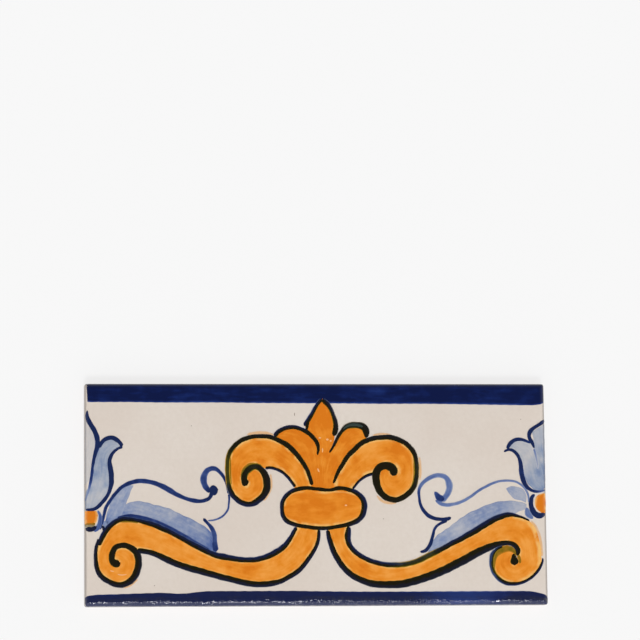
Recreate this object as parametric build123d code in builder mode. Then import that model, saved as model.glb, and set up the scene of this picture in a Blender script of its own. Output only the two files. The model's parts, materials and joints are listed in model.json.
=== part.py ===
from build123d import *
import os

# Glazed border tile, pressed and fired as one piece.
# The tile lies face up. The origin is the middle of its back, +X runs along the border,
# +Y points to the upper edge of the painted border, and +Z points out of the glazed face.
# All sizes are in millimetres.

# Overall size
tile_length = 150.0
tile_width = 72.0
tile_thickness = 8.0

# Edges of the glazed face
arris_radius = 1.5
corner_radius = 0.6

# Foot: the side wall leans in from here down to the back, as it leaves the press
foot_height = 3.2
foot_inset = 0.8

# Keyed back: a lattice of ribs between shallow pockets that the mortar fills
rim_width = 3.5
rib_width = 2.4
key_pitch = 17.5
key_depth = 0.9
key_draft = 30.0
pocket_corner_radius = 1.6

back_length = tile_length - 2 * foot_inset
back_width = tile_width - 2 * foot_inset

# The lattice takes an even number of pockets each way, as near to the wanted pitch as
# the back allows, so that two ribs always cross in the middle of the back
lattice_length = back_length - 2 * rim_width + rib_width
lattice_width = back_width - 2 * rim_width + rib_width
columns = 2 * max(1, round(lattice_length / key_pitch / 2))
rows = 2 * max(1, round(lattice_width / key_pitch / 2))
pitch_along = lattice_length / columns
pitch_across = lattice_width / rows
pocket_length = pitch_along - rib_width
pocket_width = pitch_across - rib_width

with BuildPart() as border_tile:
    # Foot, from the smaller back outline up to the full outline
    with BuildSketch(Plane.XY):
        RectangleRounded(back_length, back_width, corner_radius)
    with BuildSketch(Plane.XY.offset(foot_height)):
        RectangleRounded(tile_length, tile_width, corner_radius)
    loft()

    # Body with upright sides, which butt against the next tile
    with BuildSketch(Plane.XY.offset(foot_height)):
        RectangleRounded(tile_length, tile_width, corner_radius)
    extrude(amount=tile_thickness - foot_height)

    # Rounded arris all round the glazed face
    face_edges = border_tile.faces().sort_by(Axis.Z)[-1].edges()
    fillet(face_edges, radius=arris_radius)

    # Pockets of the keyed back, narrowing upwards so that the press can leave them
    with BuildSketch(Plane.XY):
        with GridLocations(pitch_along, pitch_across, columns, rows):
            RectangleRounded(pocket_length, pocket_width, pocket_corner_radius)
    extrude(amount=key_depth, taper=key_draft, mode=Mode.SUBTRACT)

border_tile.part.label = "border_tile"

os.makedirs("parts", exist_ok=True)
export_step(border_tile.part, "parts/border_tile.step")
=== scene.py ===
import json
import math

import bpy
import numpy as np
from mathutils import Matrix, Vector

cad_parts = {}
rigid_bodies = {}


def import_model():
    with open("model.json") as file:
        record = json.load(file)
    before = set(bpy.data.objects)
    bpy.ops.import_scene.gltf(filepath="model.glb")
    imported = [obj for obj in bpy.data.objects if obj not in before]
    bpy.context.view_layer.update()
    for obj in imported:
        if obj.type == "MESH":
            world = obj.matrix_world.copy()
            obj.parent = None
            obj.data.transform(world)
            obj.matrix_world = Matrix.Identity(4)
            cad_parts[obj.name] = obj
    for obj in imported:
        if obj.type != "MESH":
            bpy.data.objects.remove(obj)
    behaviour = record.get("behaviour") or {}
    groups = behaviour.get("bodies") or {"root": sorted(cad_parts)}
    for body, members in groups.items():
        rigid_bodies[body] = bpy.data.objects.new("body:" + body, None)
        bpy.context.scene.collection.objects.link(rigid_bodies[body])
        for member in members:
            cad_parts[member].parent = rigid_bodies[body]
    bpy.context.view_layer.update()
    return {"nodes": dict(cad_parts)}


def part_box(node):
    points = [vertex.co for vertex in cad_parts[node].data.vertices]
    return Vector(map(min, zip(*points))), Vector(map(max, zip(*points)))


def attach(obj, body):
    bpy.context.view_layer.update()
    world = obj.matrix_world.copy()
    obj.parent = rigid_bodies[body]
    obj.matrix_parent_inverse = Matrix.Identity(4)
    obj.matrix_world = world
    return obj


# Border tile painted by hand: the fixed clay body gets a tin glaze, two navy bands, pale blue
# leaves and tulips, orange scrolls and a palmette, and dark brush outlines over them.
# Paint points are (x, y) or (x, y, brush width) in millimetres, seen from above, with the
# middle of the tile at 0, 0 and the upper border at +y.

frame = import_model()
clayTile = frame["nodes"]["border_tile"]
lowCorner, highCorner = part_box("border_tile")
mm = 0.001
halfLength = (highCorner.x - lowCorner.x) / 2 / mm
halfWidth = (highCorner.y - lowCorner.y) / 2 / mm
faceHeight = highCorner.z / mm
print("frame: tile", round(halfLength * 2, 2), "x", round(halfWidth * 2, 2), "x", round(faceHeight, 2), "mm")

tileShape = {
    "arrisRadius": 1.5,      # the clay body's rounded face edge, mm
    "cornerSharpness": 5.0,  # how square the plan corner is
    "swell": 0.010,          # height of the slow waves in the glazed face, mm
    "swellLengths": (34.0, 27.0, 15.0, 19.0),  # mm, the long wave's two and the slanted wave's two
    "swellStarts": (0.4, 1.1, 2.0),
    "slantedShare": 0.5,
}


# Slow unevenness of the fired face: a long sine wave each way plus half a shorter slanted one.
def faceSwell(x, y):
    a, b, c, d = (2 * math.pi / length for length in tileShape["swellLengths"])
    startX, startY, startSlant = tileShape["swellStarts"]
    long = np.sin(a * x + startX) * np.sin(b * y + startY)
    slanted = np.sin(c * x - d * y + startSlant)
    return tileShape["swell"] * (long + tileShape["slantedShare"] * slanted)


# Seen from above the face is flat inside the arris. Over the arris the height falls as a quarter
# circle of how far the point is past its start, the larger of the two ways, and the plan corner
# is a superellipse. A point beyond the side runs straight down the wall by as much.
def ontoTile(x, y, lift):
    r = tileShape["arrisRadius"]
    k = tileShape["cornerSharpness"]
    flatX, flatY = halfLength - r, halfWidth - r
    a = np.clip((np.abs(x) - flatX) / r, 0, 1)
    b = np.clip((np.abs(y) - flatY) / r, 0, 1)
    m = np.maximum(a, b)
    n = (a ** k + b ** k) ** (1 / k)
    pull = np.divide(m, n, out=np.ones_like(m), where=n > 0)
    flat = np.hypot(a, b)
    lean = np.divide(m, flat, out=np.zeros_like(m), where=flat > 0)
    up = np.sqrt(1 - m * m)
    drop = np.maximum(np.maximum(np.abs(x) - halfLength, np.abs(y) - halfWidth), 0)
    place = np.stack([
        np.sign(x) * (np.minimum(np.abs(x), flatX) + r * a * pull),
        np.sign(y) * (np.minimum(np.abs(y), flatY) + r * b * pull),
        faceHeight - r + r * up - drop,
    ], -1)
    normal = np.stack([np.sign(x) * a * lean, np.sign(y) * b * lean, up], -1)
    return place + normal * (lift + faceSwell(x, y) * up)[..., None]


# Catmull-Rom curve: between two points it is the cubic through both whose end slopes are half
# the chord between their neighbours. t runs 0 to 1 over the whole list.
def curveAt(points, t, closed=False):
    p = np.array(points, float)
    if closed:
        p = np.concatenate([p[-1:], p, p[:2]])
    else:
        p = np.concatenate([2 * p[:1] - p[1:2], p, 2 * p[-1:] - p[-2:-1]])
    spans = len(p) - 3
    i = np.minimum((t * spans).astype(int), spans - 1)
    f = (t * spans - i)[:, None]
    a, b, c, d = p[i], p[i + 1], p[i + 2], p[i + 3]
    return b + 0.5 * f * (c - a + f * (2 * a - 5 * b + 4 * c - d + f * (3 * (b - c) + d - a)))


# Distance along a row of points: the running sum of the steps between them.
def arcLength(p):
    return np.concatenate([[0], np.cumsum(np.hypot(*np.diff(p[:, :2], axis=0).T))])


# Running mean with a Gaussian weight. The row is continued past each end turned half round, so
# its ends stay put, or by itself if it closes.
def softened(p, reach, closed=False):
    count = int(3 * reach) + 1
    weight = np.exp(-0.5 * (np.arange(-count, count + 1) / reach) ** 2)
    weight /= weight.sum()
    if closed:
        wide = np.concatenate([p[-count:], p, p[:count]])
    else:
        count = min(count, len(p) - 1)
        weight = weight[len(weight) // 2 - count:len(weight) // 2 + count + 1]
        weight /= weight.sum()
        wide = np.concatenate([2 * p[0] - p[count:0:-1], p, 2 * p[-1] - p[-2:-count - 2:-1]])
    return np.stack([np.convolve(column, weight, "valid") for column in wide.T], -1)


brushHand = {
    "step": 0.4,          # mm between stations along a stroke
    "fewest": 6,          # stations along the shortest stroke
    "across": 9,          # points across a stroke
    "fineness": 24,       # curve samples for each drawn point
    "soften": 0.55,       # mm, how far the hand rounds off the points
    "wander": 0.02,       # mm, side to side unsteadiness
    "breathe": 0.03,      # share of the width that comes and goes
    "waves": (5.3, 2.9),  # mm, the two wave lengths of both
    "secondShare": 0.6,   # the shorter wave's share in the wander
    "starts": (2.1, 1.3, 4.7),  # how each wave moves on from stroke to stroke
    "tip": 0.5,           # roundness length of a stroke's end, in half widths
    "shortestTip": 0.05,  # mm
    "thinnest": 0.04,     # mm, least half width
    "fullCrown": 0.6,     # mm, half width from which a stroke has its full height
    "apart": 37.0,        # mm between two strokes in the streak noise
    "stack": 0.003,       # mm, how much higher each of four strokes lies, so that crossings don't flicker
    "stackOf": 4,
}


# One brush stroke: points at an even step of arc length along the curve, each moved sideways by a
# share q of half the brush width, q running -1 to 1. The width closes as a quarter ellipse at
# both ends, and the height over the glaze is a crown of 1 - q squared. Stroke by stroke, fade gives
# the paint load and soak how much orange shows from under it, as (share of the length, value).
def strokePart(points, look, index):
    closed = look.get("closed", False)
    hand = brushHand
    fine = curveAt(points, np.linspace(0, 1, len(points) * hand["fineness"]), closed)
    run = arcLength(fine)
    count = max(hand["fewest"], int(run[-1] / hand["step"]))
    stations = np.linspace(0, run[-1], count + 1 if not closed else count, endpoint=not closed)
    line = np.stack([np.interp(stations, run, column) for column in fine.T], -1)
    line = softened(line, hand["soften"] / hand["step"], closed)
    run = stations
    if closed:
        heading = np.roll(line, -1, 0)[:, :2] - np.roll(line, 1, 0)[:, :2]
    else:
        heading = np.gradient(line[:, :2], axis=0)
    heading /= np.linalg.norm(heading, axis=1)[:, None]
    side = np.stack([-heading[:, 1], heading[:, 0]], -1)
    turns = [2 * math.pi * run / length for length in hand["waves"]]
    if closed:  # whole waves, so that the ends meet
        turns = [2 * math.pi * run / run[-1] * round(run[-1] / length) for length in hand["waves"]]
    starts = [index * start for start in hand["starts"]]
    sway = np.sin(turns[0] + starts[0]) + hand["secondShare"] * np.sin(turns[1] + starts[1])
    swing = np.sin(turns[1] + starts[2])
    centre = line[:, :2] + side * (hand["wander"] * sway)[:, None]
    half = line[:, 2] / 2 * (1 + hand["breathe"] * swing) + look.get("swell", 0)
    load = np.interp(run / run[-1], *zip(*look.get("fade", {}).get(index, ((0, 1), (1, 1)))))
    soak = np.interp(run / run[-1], *zip(*look.get("soak", {}).get(index, ((0, 0), (1, 0)))))
    if not closed:
        toEnd = np.minimum(run, run[-1] - run)
        reach = np.maximum(half * hand["tip"], hand["shortestTip"])
        closing = np.clip(1 - toEnd / (2 * reach), 0, 1)
        half = np.maximum(half * np.sqrt(1 - closing ** 2), hand["thinnest"])
    q = np.linspace(-1, 1, hand["across"])[None, :]
    x = centre[:, :1] + side[:, :1] * half[:, None] * q
    y = centre[:, 1:] + side[:, 1:] * half[:, None] * q
    crown = look["crown"] * np.minimum(1, half / hand["fullCrown"])[:, None] * (1 - q ** 2)
    return {
        "x": x,
        "y": y,
        "lift": look["lift"] + hand["stack"] * (index % hand["stackOf"]),
        "rise": crown,
        "closed": closed,
        "across": np.broadcast_to(q, x.shape),
        "along": np.broadcast_to(run[:, None], x.shape) + index * hand["apart"],
        "inset": (1 - np.abs(q)) * half[:, None],
        "load": np.broadcast_to(load[:, None], x.shape),
        "soak": soak[:, None],
    }


areaHand = {
    "samples": 400,       # curve samples along an area
    "fewest": 8,          # least steps along it and across it
    "most": 70,           # most steps across it
    "narrowest": 0.01,    # mm
    "waves": (1.9, 1.6),  # radians a mm, the unsteadiness of the two edges
    "flatness": 8,        # the higher, the later the paint thins towards its rim
    "heaviest": 2.0,      # most paint load
    "apart": 53.0,        # mm between two areas in the streak noise
    "stack": 0.003,       # mm, how much higher each of three areas lies
    "stackOf": 3,
}


# A painted area between two edge curves: at each station along, straight across from the first
# edge to the second, with the height 1 - q to the eighth so that it thins only at its rim. Its
# strength is (share of the length, load), and a patch (x, y, reach, change) adds a Gaussian to it.
# bareRim moves the rim's inset on, so that no pale edge shows, and capped gives the ends one too.
def areaPart(area, look, index):
    hand = areaHand
    edgeA, edgeB = area["edges"]
    fine = np.linspace(0, 1, hand["samples"])
    middle = (curveAt(edgeA, fine) + curveAt(edgeB, fine)) / 2
    run = arcLength(middle)
    count = max(hand["fewest"], int(run[-1] / look["step"]))
    t = np.interp(np.linspace(0, run[-1], count + 1), run, fine)
    run = np.linspace(0, run[-1], count + 1)
    a, b = curveAt(edgeA, t), curveAt(edgeB, t)
    heading = np.gradient((a + b) / 2, axis=0)
    turned = np.sum(heading[:, 0] * (b - a)[:, 1] - heading[:, 1] * (b - a)[:, 0])
    if turned < 0:
        a, b = b, a
    width = np.hypot(*(b - a).T)
    unit = (b - a) / np.maximum(width, hand["narrowest"])[:, None]
    a = a + unit * (look["wobble"] * np.sin(run * hand["waves"][0] + index))[:, None]
    b = b + unit * (look["wobble"] * np.sin(run * hand["waves"][1] + index * 2))[:, None]
    count = int(np.clip(width.max() / look["crossStep"], hand["fewest"], hand["most"]))
    q = np.linspace(0, 1, count)[None, :]
    x = a[:, :1] + (b - a)[:, :1] * q
    y = a[:, 1:] + (b - a)[:, 1:] * q
    q = np.broadcast_to(2 * q - 1, x.shape)
    load = np.interp(run / run[-1], *zip(*area.get("strength", ((0, 1), (1, 1)))))
    load = np.broadcast_to(load[:, None], x.shape).copy()
    inset = (1 - np.abs(q)) * width[:, None] / 2 + area.get("bareRim", 0)
    if area.get("capped"):
        inset = np.minimum(inset, np.minimum(run, run[-1] - run)[:, None])
    for spotX, spotY, reach, change in area.get("patches", ()):
        load += change * np.exp(-((x - spotX) ** 2 + (y - spotY) ** 2) / (2 * reach ** 2))
    return {
        "x": x,
        "y": y,
        "lift": look["lift"] + hand["stack"] * (index % hand["stackOf"]),
        "rise": look["crown"] * (1 - q ** hand["flatness"]),
        "closed": False,
        "across": q,
        "along": np.broadcast_to(run[:, None], x.shape) + index * hand["apart"],
        "inset": inset,
        "load": np.clip(load, 0, hand["heaviest"]),
    }


orangeRims = []  # outlines of the orange areas, for paint that lies over them


# The outline of an area: along its first edge and back along its second.
def rimOf(part):
    return np.concatenate([
        np.stack([part["x"][:, 0], part["y"][:, 0]], -1),
        np.stack([part["x"][::-1, -1], part["y"][::-1, -1]], -1),
    ])


# Even-odd rule: a point is inside a rim if a ray from it along +x crosses the rim an odd number
# of times, counted for every point against every side at once.
def insideRims(x, y, rims):
    inside = np.zeros(x.shape, bool)
    for rim in rims:
        box = (x > rim[:, 0].min()) & (x < rim[:, 0].max()) & (y > rim[:, 1].min()) & (y < rim[:, 1].max())
        px, py = x[box][:, None], y[box][:, None]
        ax, ay = rim[:, 0], rim[:, 1]
        bx, by = np.roll(ax, -1), np.roll(ay, -1)
        spans = (ay > py) != (by > py)
        crossing = ax + (py - ay) * (bx - ax) / np.where(by == ay, 1e-9, by - ay)
        inside[box] |= (np.sum(spans & (px < crossing), axis=1) % 2).astype(bool)
    return inside.astype(float)


# Closes grids of points into solid layers: the top grid, the same grid set down into the glaze
# with its faces turned over, and a wall round the rim. Each grid is n stations by m across.
# onOrange is 1 where the paint lies over an orange area.
def layerMesh(name, parts):
    places, quads = [], []
    values = {"across": [], "along": [], "inset": [], "load": [], "onOrange": []}
    start = 0
    for part in parts:
        x, y = part["x"], part["y"]
        n, m = x.shape
        under = glazeCoat["coat"] - glazeCoat["paintRoot"]
        top = ontoTile(x, y, glazeCoat["coat"] + part["lift"] + part["rise"])
        base = ontoTile(x, y, np.full(x.shape, under))
        covered = insideRims(x, y, orangeRims) if part.get("overOrange", True) else np.zeros(x.shape)
        covered = np.maximum(covered, part.get("soak", 0))
        places += [top.reshape(-1, 3), base.reshape(-1, 3)]
        for key in ("across", "along", "inset", "load"):
            values[key] += [part[key].ravel()] * 2
        values["onOrange"] += [covered.ravel()] * 2
        ids = np.arange(n * m).reshape(n, m) + start
        i0 = ids if part["closed"] else ids[:-1]
        i1 = np.roll(ids, -1, 0) if part["closed"] else ids[1:]
        shift = n * m
        cells = [i0[:, :-1], i1[:, :-1], i1[:, 1:], i0[:, 1:]]
        quads.append(np.stack([c.ravel() for c in cells], -1))
        quads.append(np.stack([c.ravel() + shift for c in cells[::-1]], -1))
        quads.append(np.stack([i0[:, 0], i0[:, 0] + shift, i1[:, 0] + shift, i1[:, 0]], -1))
        quads.append(np.stack([i0[:, -1], i1[:, -1], i1[:, -1] + shift, i0[:, -1] + shift], -1))
        if not part["closed"]:
            first, last = ids[0], ids[-1]
            quads.append(np.stack([first[:-1], first[1:], first[1:] + shift, first[:-1] + shift], -1))
            quads.append(np.stack([last[:-1], last[:-1] + shift, last[1:] + shift, last[1:]], -1))
        start += 2 * n * m
    return meshFrom(name, np.concatenate(places), np.concatenate(quads),
                    {key: np.concatenate(rows) for key, rows in values.items()})


sharpAngle = 50  # degrees, from which an edge is shaded sharp


# Points in millimetres and rows of four corners become a smooth mesh in metres, with one float
# value at each vertex for every named row of values.
def meshFrom(name, places, quads, values):
    mesh = bpy.data.meshes.new(name)
    mesh.vertices.add(len(places))
    mesh.vertices.foreach_set("co", (places * mm).astype(np.float32).ravel())
    mesh.loops.add(quads.size)
    mesh.loops.foreach_set("vertex_index", quads.astype(np.int32).ravel())
    mesh.polygons.add(len(quads))
    mesh.polygons.foreach_set("loop_start", np.arange(0, quads.size, 4, dtype=np.int32))
    mesh.polygons.foreach_set("use_smooth", np.ones(len(quads), bool))
    mesh.update(calc_edges=True)
    mesh.validate()
    for key, row in values.items():
        mesh.attributes.new(key, "FLOAT", "POINT").data.foreach_set("value", row.astype(np.float32))
    mesh.set_sharp_from_angle(angle=math.radians(sharpAngle))
    return mesh


def addPiece(name, mesh, material):
    piece = bpy.data.objects.new(name, mesh)
    bpy.context.scene.collection.objects.link(piece)
    mesh.materials.append(material)
    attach(piece, "root")
    print("made", name, len(mesh.polygons), "faces")
    return piece


# Nodes

def tone(red, green, blue):  # a screen colour, 0 to 255, as the linear value Blender mixes
    def linear(value):
        value /= 255
        return value / 12.92 if value <= 0.04045 else ((value + 0.055) / 1.055) ** 2.4
    return (linear(red), linear(green), linear(blue), 1.0)


def addNode(tree, kind, settings=None, **inputs):
    node = tree.nodes.new(kind)
    for key, value in (settings or {}).items():
        setattr(node, key, value)
    for key, value in inputs.items():
        plug(tree, node.inputs[key], value)
    return node


def plug(tree, socket, value):
    if isinstance(value, bpy.types.NodeSocket):
        tree.links.new(value, socket)
    else:
        socket.default_value = value


def maths(tree, operation, *values, clamp=False):
    node = addNode(tree, "ShaderNodeMath", {"operation": operation, "use_clamp": clamp})
    for socket, value in zip(node.inputs, values):
        plug(tree, socket, value)
    return node.outputs[0]


def spread(tree, value, fromLow, fromHigh, toLow=0.0, toHigh=1.0, kind="LINEAR"):
    node = addNode(tree, "ShaderNodeMapRange", {"interpolation_type": kind})
    for key, amount in (("Value", value), ("From Min", fromLow), ("From Max", fromHigh),
                        ("To Min", toLow), ("To Max", toHigh)):
        plug(tree, node.inputs[key], amount)
    return node.outputs["Result"]


def blendTones(tree, share, first, second, kind="MIX"):
    node = addNode(tree, "ShaderNodeMix", {"data_type": "RGBA", "blend_type": kind})
    for place, value in ((0, share), (6, first), (7, second)):  # the node's factor and its colours A and B
        plug(tree, node.inputs[place], value)
    return node.outputs[2]  # its colour result


def readPaint(tree, name):
    return addNode(tree, "ShaderNodeAttribute", {"attribute_name": name}).outputs["Fac"]


def cloud(tree, size, detail=2.0, roughness=0.5, where=None):  # noise whose features are about size mm
    if where is None:
        where = addNode(tree, "ShaderNodeTexCoord").outputs["Object"]
    noise = addNode(tree, "ShaderNodeTexNoise", None, Vector=where, Scale=1 / (size * mm), Detail=detail,
                    Roughness=roughness)
    return noise.outputs["Fac"]


def newMaterial(name):
    material = bpy.data.materials.new(name)
    material.use_nodes = True
    tree = material.node_tree
    return material, tree, tree.nodes["Principled BSDF"]


glazeTone = {
    "plain": tone(221, 209, 198),
    "thin": tone(208, 194, 181),    # where the glaze pulls thin and the clay warms it
    "thick": tone(226, 216, 206),
    "edge": tone(164, 154, 146),    # painted shade: the glaze darker over the arris, where the edge turns from the light
    "arrisShadeDepth": (0.05, 0.5),       # mm below the face, where that painted shade starts and is full
    "patchSize": 26.0,
    "patchRange": (0.32, 0.68),
    "grainSize": 1.3,
    "grainRange": (0.3, 0.7),
    "grainShare": 0.25,
}


# The glaze's colour: plain to thick by slow noise, a share of thin by fine noise, and painted shade
# over the arris, the edge tone by how far the point lies below the face.
def buildGlazeGroup():
    tree = bpy.data.node_groups.new("glazeColour", "ShaderNodeTree")
    tree.interface.new_socket("Color", in_out="OUTPUT", socket_type="NodeSocketColor")
    out = tree.nodes.new("NodeGroupOutput")
    slow = spread(tree, cloud(tree, glazeTone["patchSize"], 3.0), *glazeTone["patchRange"])
    grain = spread(tree, cloud(tree, glazeTone["grainSize"], 3.0, 0.7), *glazeTone["grainRange"],
                   0.0, glazeTone["grainShare"])
    colour = blendTones(tree, slow, glazeTone["plain"], glazeTone["thick"])
    colour = blendTones(tree, grain, colour, glazeTone["thin"])
    height = addNode(tree, "ShaderNodeSeparateXYZ", None,
                     Vector=addNode(tree, "ShaderNodeTexCoord").outputs["Object"]).outputs["Z"]
    # painted shade over the arris: the deeper below the face, the darker
    edge = spread(tree, height, *((faceHeight - depth) * mm for depth in glazeTone["arrisShadeDepth"]))
    colour = blendTones(tree, edge, colour, glazeTone["edge"])
    tree.links.new(colour, out.inputs[0])
    return tree


glazeGroup = buildGlazeGroup()


def glazeColour(tree):
    node = tree.nodes.new("ShaderNodeGroup")
    node.node_tree = glazeGroup
    return node.outputs[0]


gloss = {
    "roughness": 0.08,
    "ior": 1.5,
    "rippleSize": 2.6,  # mm
    "ripple": 0.00001,  # bump depth, m
}


# A glossy surface whose bump is slow noise for the ripples plus any extra height.
def glossyFace(tree, shader, colour, roughness=None, extraHeight=None, depth=None):
    plug(tree, shader.inputs["Base Color"], colour)
    shader.inputs["Roughness"].default_value = gloss["roughness"] if roughness is None else roughness
    shader.inputs["IOR"].default_value = gloss["ior"]
    height = cloud(tree, gloss["rippleSize"], 2.0)
    if extraHeight is not None:
        height = maths(tree, "ADD", height, extraHeight)
    bump = addNode(tree, "ShaderNodeBump", None, Height=height, Strength=1.0,
                   Distance=gloss["ripple"] if depth is None else depth)
    plug(tree, shader.inputs["Normal"], bump.outputs["Normal"])


# Clay body

clayBody = {
    "biscuit": tone(190, 137, 103),
    "dark": tone(158, 104, 74),
    "pale": tone(209, 166, 134),
    "grainSize": 0.7,             # mm
    "cloudSize": 14.0,            # mm
    "cloudRange": (0.35, 0.65),
    "speckRange": (0.56, 0.68),
    "speckShare": 0.6,
    "roughness": 0.88,
    "ior": 1.4,
    "lumpSize": 3.0,              # mm
    "pit": 0.00006,               # bump depth, m
}


# Fired clay: biscuit to pale by slow noise, dark specks where the fine noise is high, and a bump
# from fine and coarse noise added together.
def clayMaterial():
    material, tree, shader = newMaterial("fired clay")
    slow = spread(tree, cloud(tree, clayBody["cloudSize"], 4.0, 0.6), *clayBody["cloudRange"])
    grain = cloud(tree, clayBody["grainSize"], 4.0, 0.75)
    colour = blendTones(tree, slow, clayBody["biscuit"], clayBody["pale"])
    specks = spread(tree, grain, *clayBody["speckRange"], kind="SMOOTHSTEP")
    specks = maths(tree, "MULTIPLY", specks, clayBody["speckShare"])
    colour = blendTones(tree, specks, colour, clayBody["dark"])
    plug(tree, shader.inputs["Base Color"], colour)
    shader.inputs["Roughness"].default_value = clayBody["roughness"]
    shader.inputs["IOR"].default_value = clayBody["ior"]
    coarse = maths(tree, "ADD", grain, cloud(tree, clayBody["lumpSize"], 3.0))
    bump = addNode(tree, "ShaderNodeBump", None, Height=coarse, Strength=1.0, Distance=clayBody["pit"])
    plug(tree, shader.inputs["Normal"], bump.outputs["Normal"])
    return material


clay = clayMaterial()
if not clayTile.material_slots:
    clayTile.data.materials.append(clay)
for place in clayTile.material_slots:
    place.material = clay
print("clay body: biscuit material on the packed tile")


# Glaze coat

glazeCoat = {
    "coat": 0.05,        # thickness over the clay, mm
    "inner": 0.04,       # how far the shell reaches into the clay
    "paintRoot": 0.02,   # how far paint reaches into the glaze
    "gridStep": 0.8,
    "arrisSteps": 8,
    "lineHeight": 4.7,   # where the glaze ends on the side, mm above the back
    "lineWander": 0.27,
    "lineWaves": ((11, 1, 1.0), (19, 2, 0.7), (37, 0, 0.5)),  # waves round the tile, start, share
    "drips": (7, 0.6, 0.9),  # the same for the drips, which are the eighth power of a wave's upper half
    "bead": 0.10,        # extra thickness along that line
    "beadProfile": ((0.2, 0), (0.4, 0), (0.6, 0), (0.75, 0.3), (0.86, 0.85), (0.93, 1), (0.98, 0.6)),
}


# The coat: the face grid lifted by its thickness, then the grid's own rim carried down the wall
# with a profile of drop and thickness that swells into a bead at the wavering glaze line, then
# the same again on the inside, joined along the last ring.
def buildGlazeCoat():
    look = glazeCoat
    r = tileShape["arrisRadius"]
    bend = r * np.sin(np.linspace(0, math.pi / 2, look["arrisSteps"] + 1)[1:])

    def stations(half):
        flat = half - r
        inner = np.linspace(-flat, flat, int(2 * flat / look["gridStep"]))
        return np.concatenate([-(flat + bend[::-1]), inner, flat + bend])

    x, y = np.meshgrid(stations(halfLength), stations(halfWidth), indexing="ij")
    n, m = x.shape
    ids = np.arange(n * m).reshape(n, m)
    rim = np.concatenate([ids[:-1, 0], ids[-1, :-1], ids[:0:-1, -1], ids[0, :0:-1]])
    onRim = ontoTile(x, y, np.zeros(x.shape)).reshape(-1, 3)[rim]
    outward = ontoTile(x, y, np.ones(x.shape)).reshape(-1, 3)[rim] - onRim
    outward[:, 2] = 0
    around = arcLength(np.concatenate([onRim, onRim[:1]]))
    turn = 2 * math.pi * around[:-1] / around[-1]
    waver = sum(share * np.sin(count * turn + start) for count, start, share in look["lineWaves"])
    count, start, share = look["drips"]
    waver += share * np.maximum(np.sin(count * turn + start), 0) ** 8
    line = look["lineHeight"] - look["lineWander"] * waver
    fall = (onRim[:, 2] - line)[:, None]
    thick = look["coat"]
    profile = [(depth, thick + swollen * look["bead"]) for depth, swollen in look["beadProfile"]]
    profile = np.array(profile + [(1.0, 0.0)])

    def rings(thickness):
        down = onRim[None] - np.array([0, 0, 1]) * profile[:, :1, None] * fall[None]
        return (down + outward[None] * thickness[:, None, None]).reshape(-1, 3)

    outerFace = ontoTile(x, y, np.full(x.shape, thick)).reshape(-1, 3)
    innerFace = ontoTile(x, y, np.full(x.shape, -look["inner"])).reshape(-1, 3)
    places = [outerFace, rings(profile[:, 1]), innerFace, rings(np.full(len(profile), -look["inner"]))]
    shellSize = len(places[0]) + len(places[1])
    cells = [ids[:-1, :-1], ids[1:, :-1], ids[1:, 1:], ids[:-1, 1:]]
    quads = [np.stack([c.ravel() for c in cells], -1)]
    loop = rim
    for k in range(len(profile)):
        below = n * m + k * len(rim) + np.arange(len(rim))
        quads.append(np.stack([loop, below, np.roll(below, -1), np.roll(loop, -1)], -1))
        loop = below
    shell = np.concatenate(quads)
    seam = np.stack([loop, loop + shellSize, np.roll(loop, -1) + shellSize, np.roll(loop, -1)], -1)
    allQuads = np.concatenate([shell, shell[:, ::-1] + shellSize, seam])
    return meshFrom("glazeCoat", np.concatenate(places), allQuads, {})


def glazeMaterial():
    material, tree, shader = newMaterial("tin glaze")
    glossyFace(tree, shader, glazeColour(tree))
    return material


addPiece("glaze_coat", buildGlazeCoat(), glazeMaterial())


# Paint finishes

# Brushed paint stains what it lies on: the colour under it times the stain raised to the strength,
# and where the strength is high the deep ink takes over. The strength is the load varied by
# streaks (noise stretched along the stroke) and mottles, and it pools or thins at the rim.
def brushedPaint(name, look):
    material, tree, shader = newMaterial(name)
    across = readPaint(tree, "across")
    along = readPaint(tree, "along")
    load = readPaint(tree, "load")
    onOrange = readPaint(tree, "onOrange")
    where = addNode(tree, "ShaderNodeCombineXYZ", None,
                    X=maths(tree, "MULTIPLY", along, mm / look["streakLength"]),
                    Y=maths(tree, "MULTIPLY", across, mm * look["streakLines"]), Z=0.0)
    streak = cloud(tree, 1.0, 3.0, 0.6, where.outputs[0])
    mottle = cloud(tree, look["mottleSize"], 3.0, 0.6)
    vary = maths(tree, "ADD", maths(tree, "MULTIPLY", maths(tree, "SUBTRACT", streak, 0.5), look["streak"]),
                 maths(tree, "MULTIPLY", maths(tree, "SUBTRACT", mottle, 0.5), look["mottle"]))
    rim = maths(tree, "ABSOLUTE", across)
    pooled = spread(tree, rim, look["rimFrom"], 1.0, 0.0, look["rim"], "SMOOTHSTEP")
    laid = maths(tree, "MULTIPLY", load, maths(tree, "ADD", vary, 1.0))
    strength = maths(tree, "ADD", maths(tree, "MULTIPLY", laid, look["cover"]), pooled)
    strength = maths(tree, "MAXIMUM", strength, 0.0)
    under = blendTones(tree, onOrange, glazeColour(tree), look["overOrange"])
    stain = addNode(tree, "ShaderNodeGamma", None, Color=look["stain"], Gamma=strength).outputs[0]
    stained = blendTones(tree, 1.0, under, stain, "MULTIPLY")
    ink = blendTones(tree, onOrange, look["deepInk"], look["inkOnOrange"])
    colour = blendTones(tree, spread(tree, strength, look["deepFrom"], look["deepTo"]), stained, ink)
    bumps = None
    if "speckle" in look:
        overArris = spread(tree, across, *look["speckleSide"], look["speckleLeast"], 1.0)
        zones = spread(tree, cloud(tree, look["speckleZone"], 2.0), *look["zoneRange"])
        grains = maths(tree, "MULTIPLY", cloud(tree, look["speckleSize"], 2.0), look["speckle"])
        grains = maths(tree, "ADD", maths(tree, "MULTIPLY", zones, grains), mottle)
        bumps = maths(tree, "MULTIPLY", overArris, grains)
    glossyFace(tree, shader, colour, look.get("roughness"), bumps, look.get("ripple"))
    return material


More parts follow.
